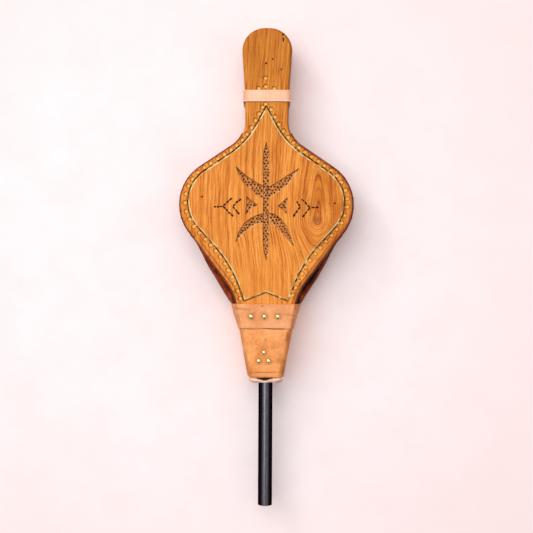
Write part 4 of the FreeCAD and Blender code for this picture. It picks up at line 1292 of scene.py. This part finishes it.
# ---- floor, light and camera ----
collection = bpy.context.scene.collection
floor_mesh = bpy.data.meshes.new("floor")
floor_mesh.from_pydata([(-3, -3, 0), (3, -3, 0), (3, 3, 0), (-3, 3, 0)], [], [(0, 1, 2, 3)])
floor = bpy.data.objects.new("floor", floor_mesh)
collection.objects.link(floor)
s = Shader("pale_paper")
paper = s.ramp(s.noise(s.coord, 0.02, 5.0, 0.62), [(0.35, srgb(251, 241, 243)), (0.65, srgb(255, 247, 250))])
# painted falloff of the light: the paper turns darker and pinker away from a point near the middle
from_middle = s.math("SQRT", s.squares(s.plus(s.x, 60.0), s.minus(s.y, 10.0)))
paper = s.mix(s.span(from_middle, 140.0, 420.0, 0.0, 0.75, True), paper, srgb(250, 231, 231))
floor_mesh.materials.append(s.finish(paper, 0.9, Specular_IOR_Level=0.1))


def area_light(name, at, toward, size, power, colour):
    lamp = bpy.data.lights.new(name, "AREA")
    lamp.size = size
    lamp.energy = power
    lamp.color = colour
    obj = bpy.data.objects.new(name, lamp)
    obj.location = at
    obj.rotation_euler = (Vector(toward) - Vector(at)).to_track_quat("-Z", "Y").to_euler()
    collection.objects.link(obj)


area_light("key", (-0.65, 0.8, 2.5), (0, 0, 0.02), 2.5, 43.0, (1.0, 0.975, 0.965))
area_light("edge", (-2.1, 2.1, 2.1), (0, 0, 0.03), 0.8, 14.0, (1.0, 0.96, 0.92))

world = bpy.data.worlds.new("studio")
bpy.context.scene.world = world
world.use_nodes = True
sky = Nodes(world.node_tree)
direction = sky.add("ShaderNodeTexCoord").outputs["Generated"]
tone = sky.ramp(sky.split(direction)[2], [(0.1, (0.31, 0.27, 0.262)), (0.85, (0.78, 0.732, 0.722))])
# one dark card low in front of the set, which gives polished metal something to mirror
card = sky.add("ShaderNodeVectorMath", {0: direction}, operation="DOT_PRODUCT")
card.inputs[1].default_value = (0.0, -0.83, 0.558)
shade = sky.scaled(tone, sky.span(card.outputs["Value"], 0.9, 0.93, 1.0, 0.02))
sky.put(world.node_tree.nodes["Background"], {"Color": shade, "Strength": 1.0})

CAMERA_AT = (0.00035, 0.0019, 1.088)
CAMERA_TURN = 0.31
camera = bpy.data.cameras.new("camera")
camera.sensor_width = 36.0
camera.lens = 73.5
camera_obj = bpy.data.objects.new("camera", camera)
camera_obj.location = CAMERA_AT
camera_obj.rotation_euler = (0.0, 0.0, math.radians(CAMERA_TURN))
collection.objects.link(camera_obj)
bpy.context.scene.camera = camera_obj
bpy.context.scene.view_settings.view_transform = "Standard"
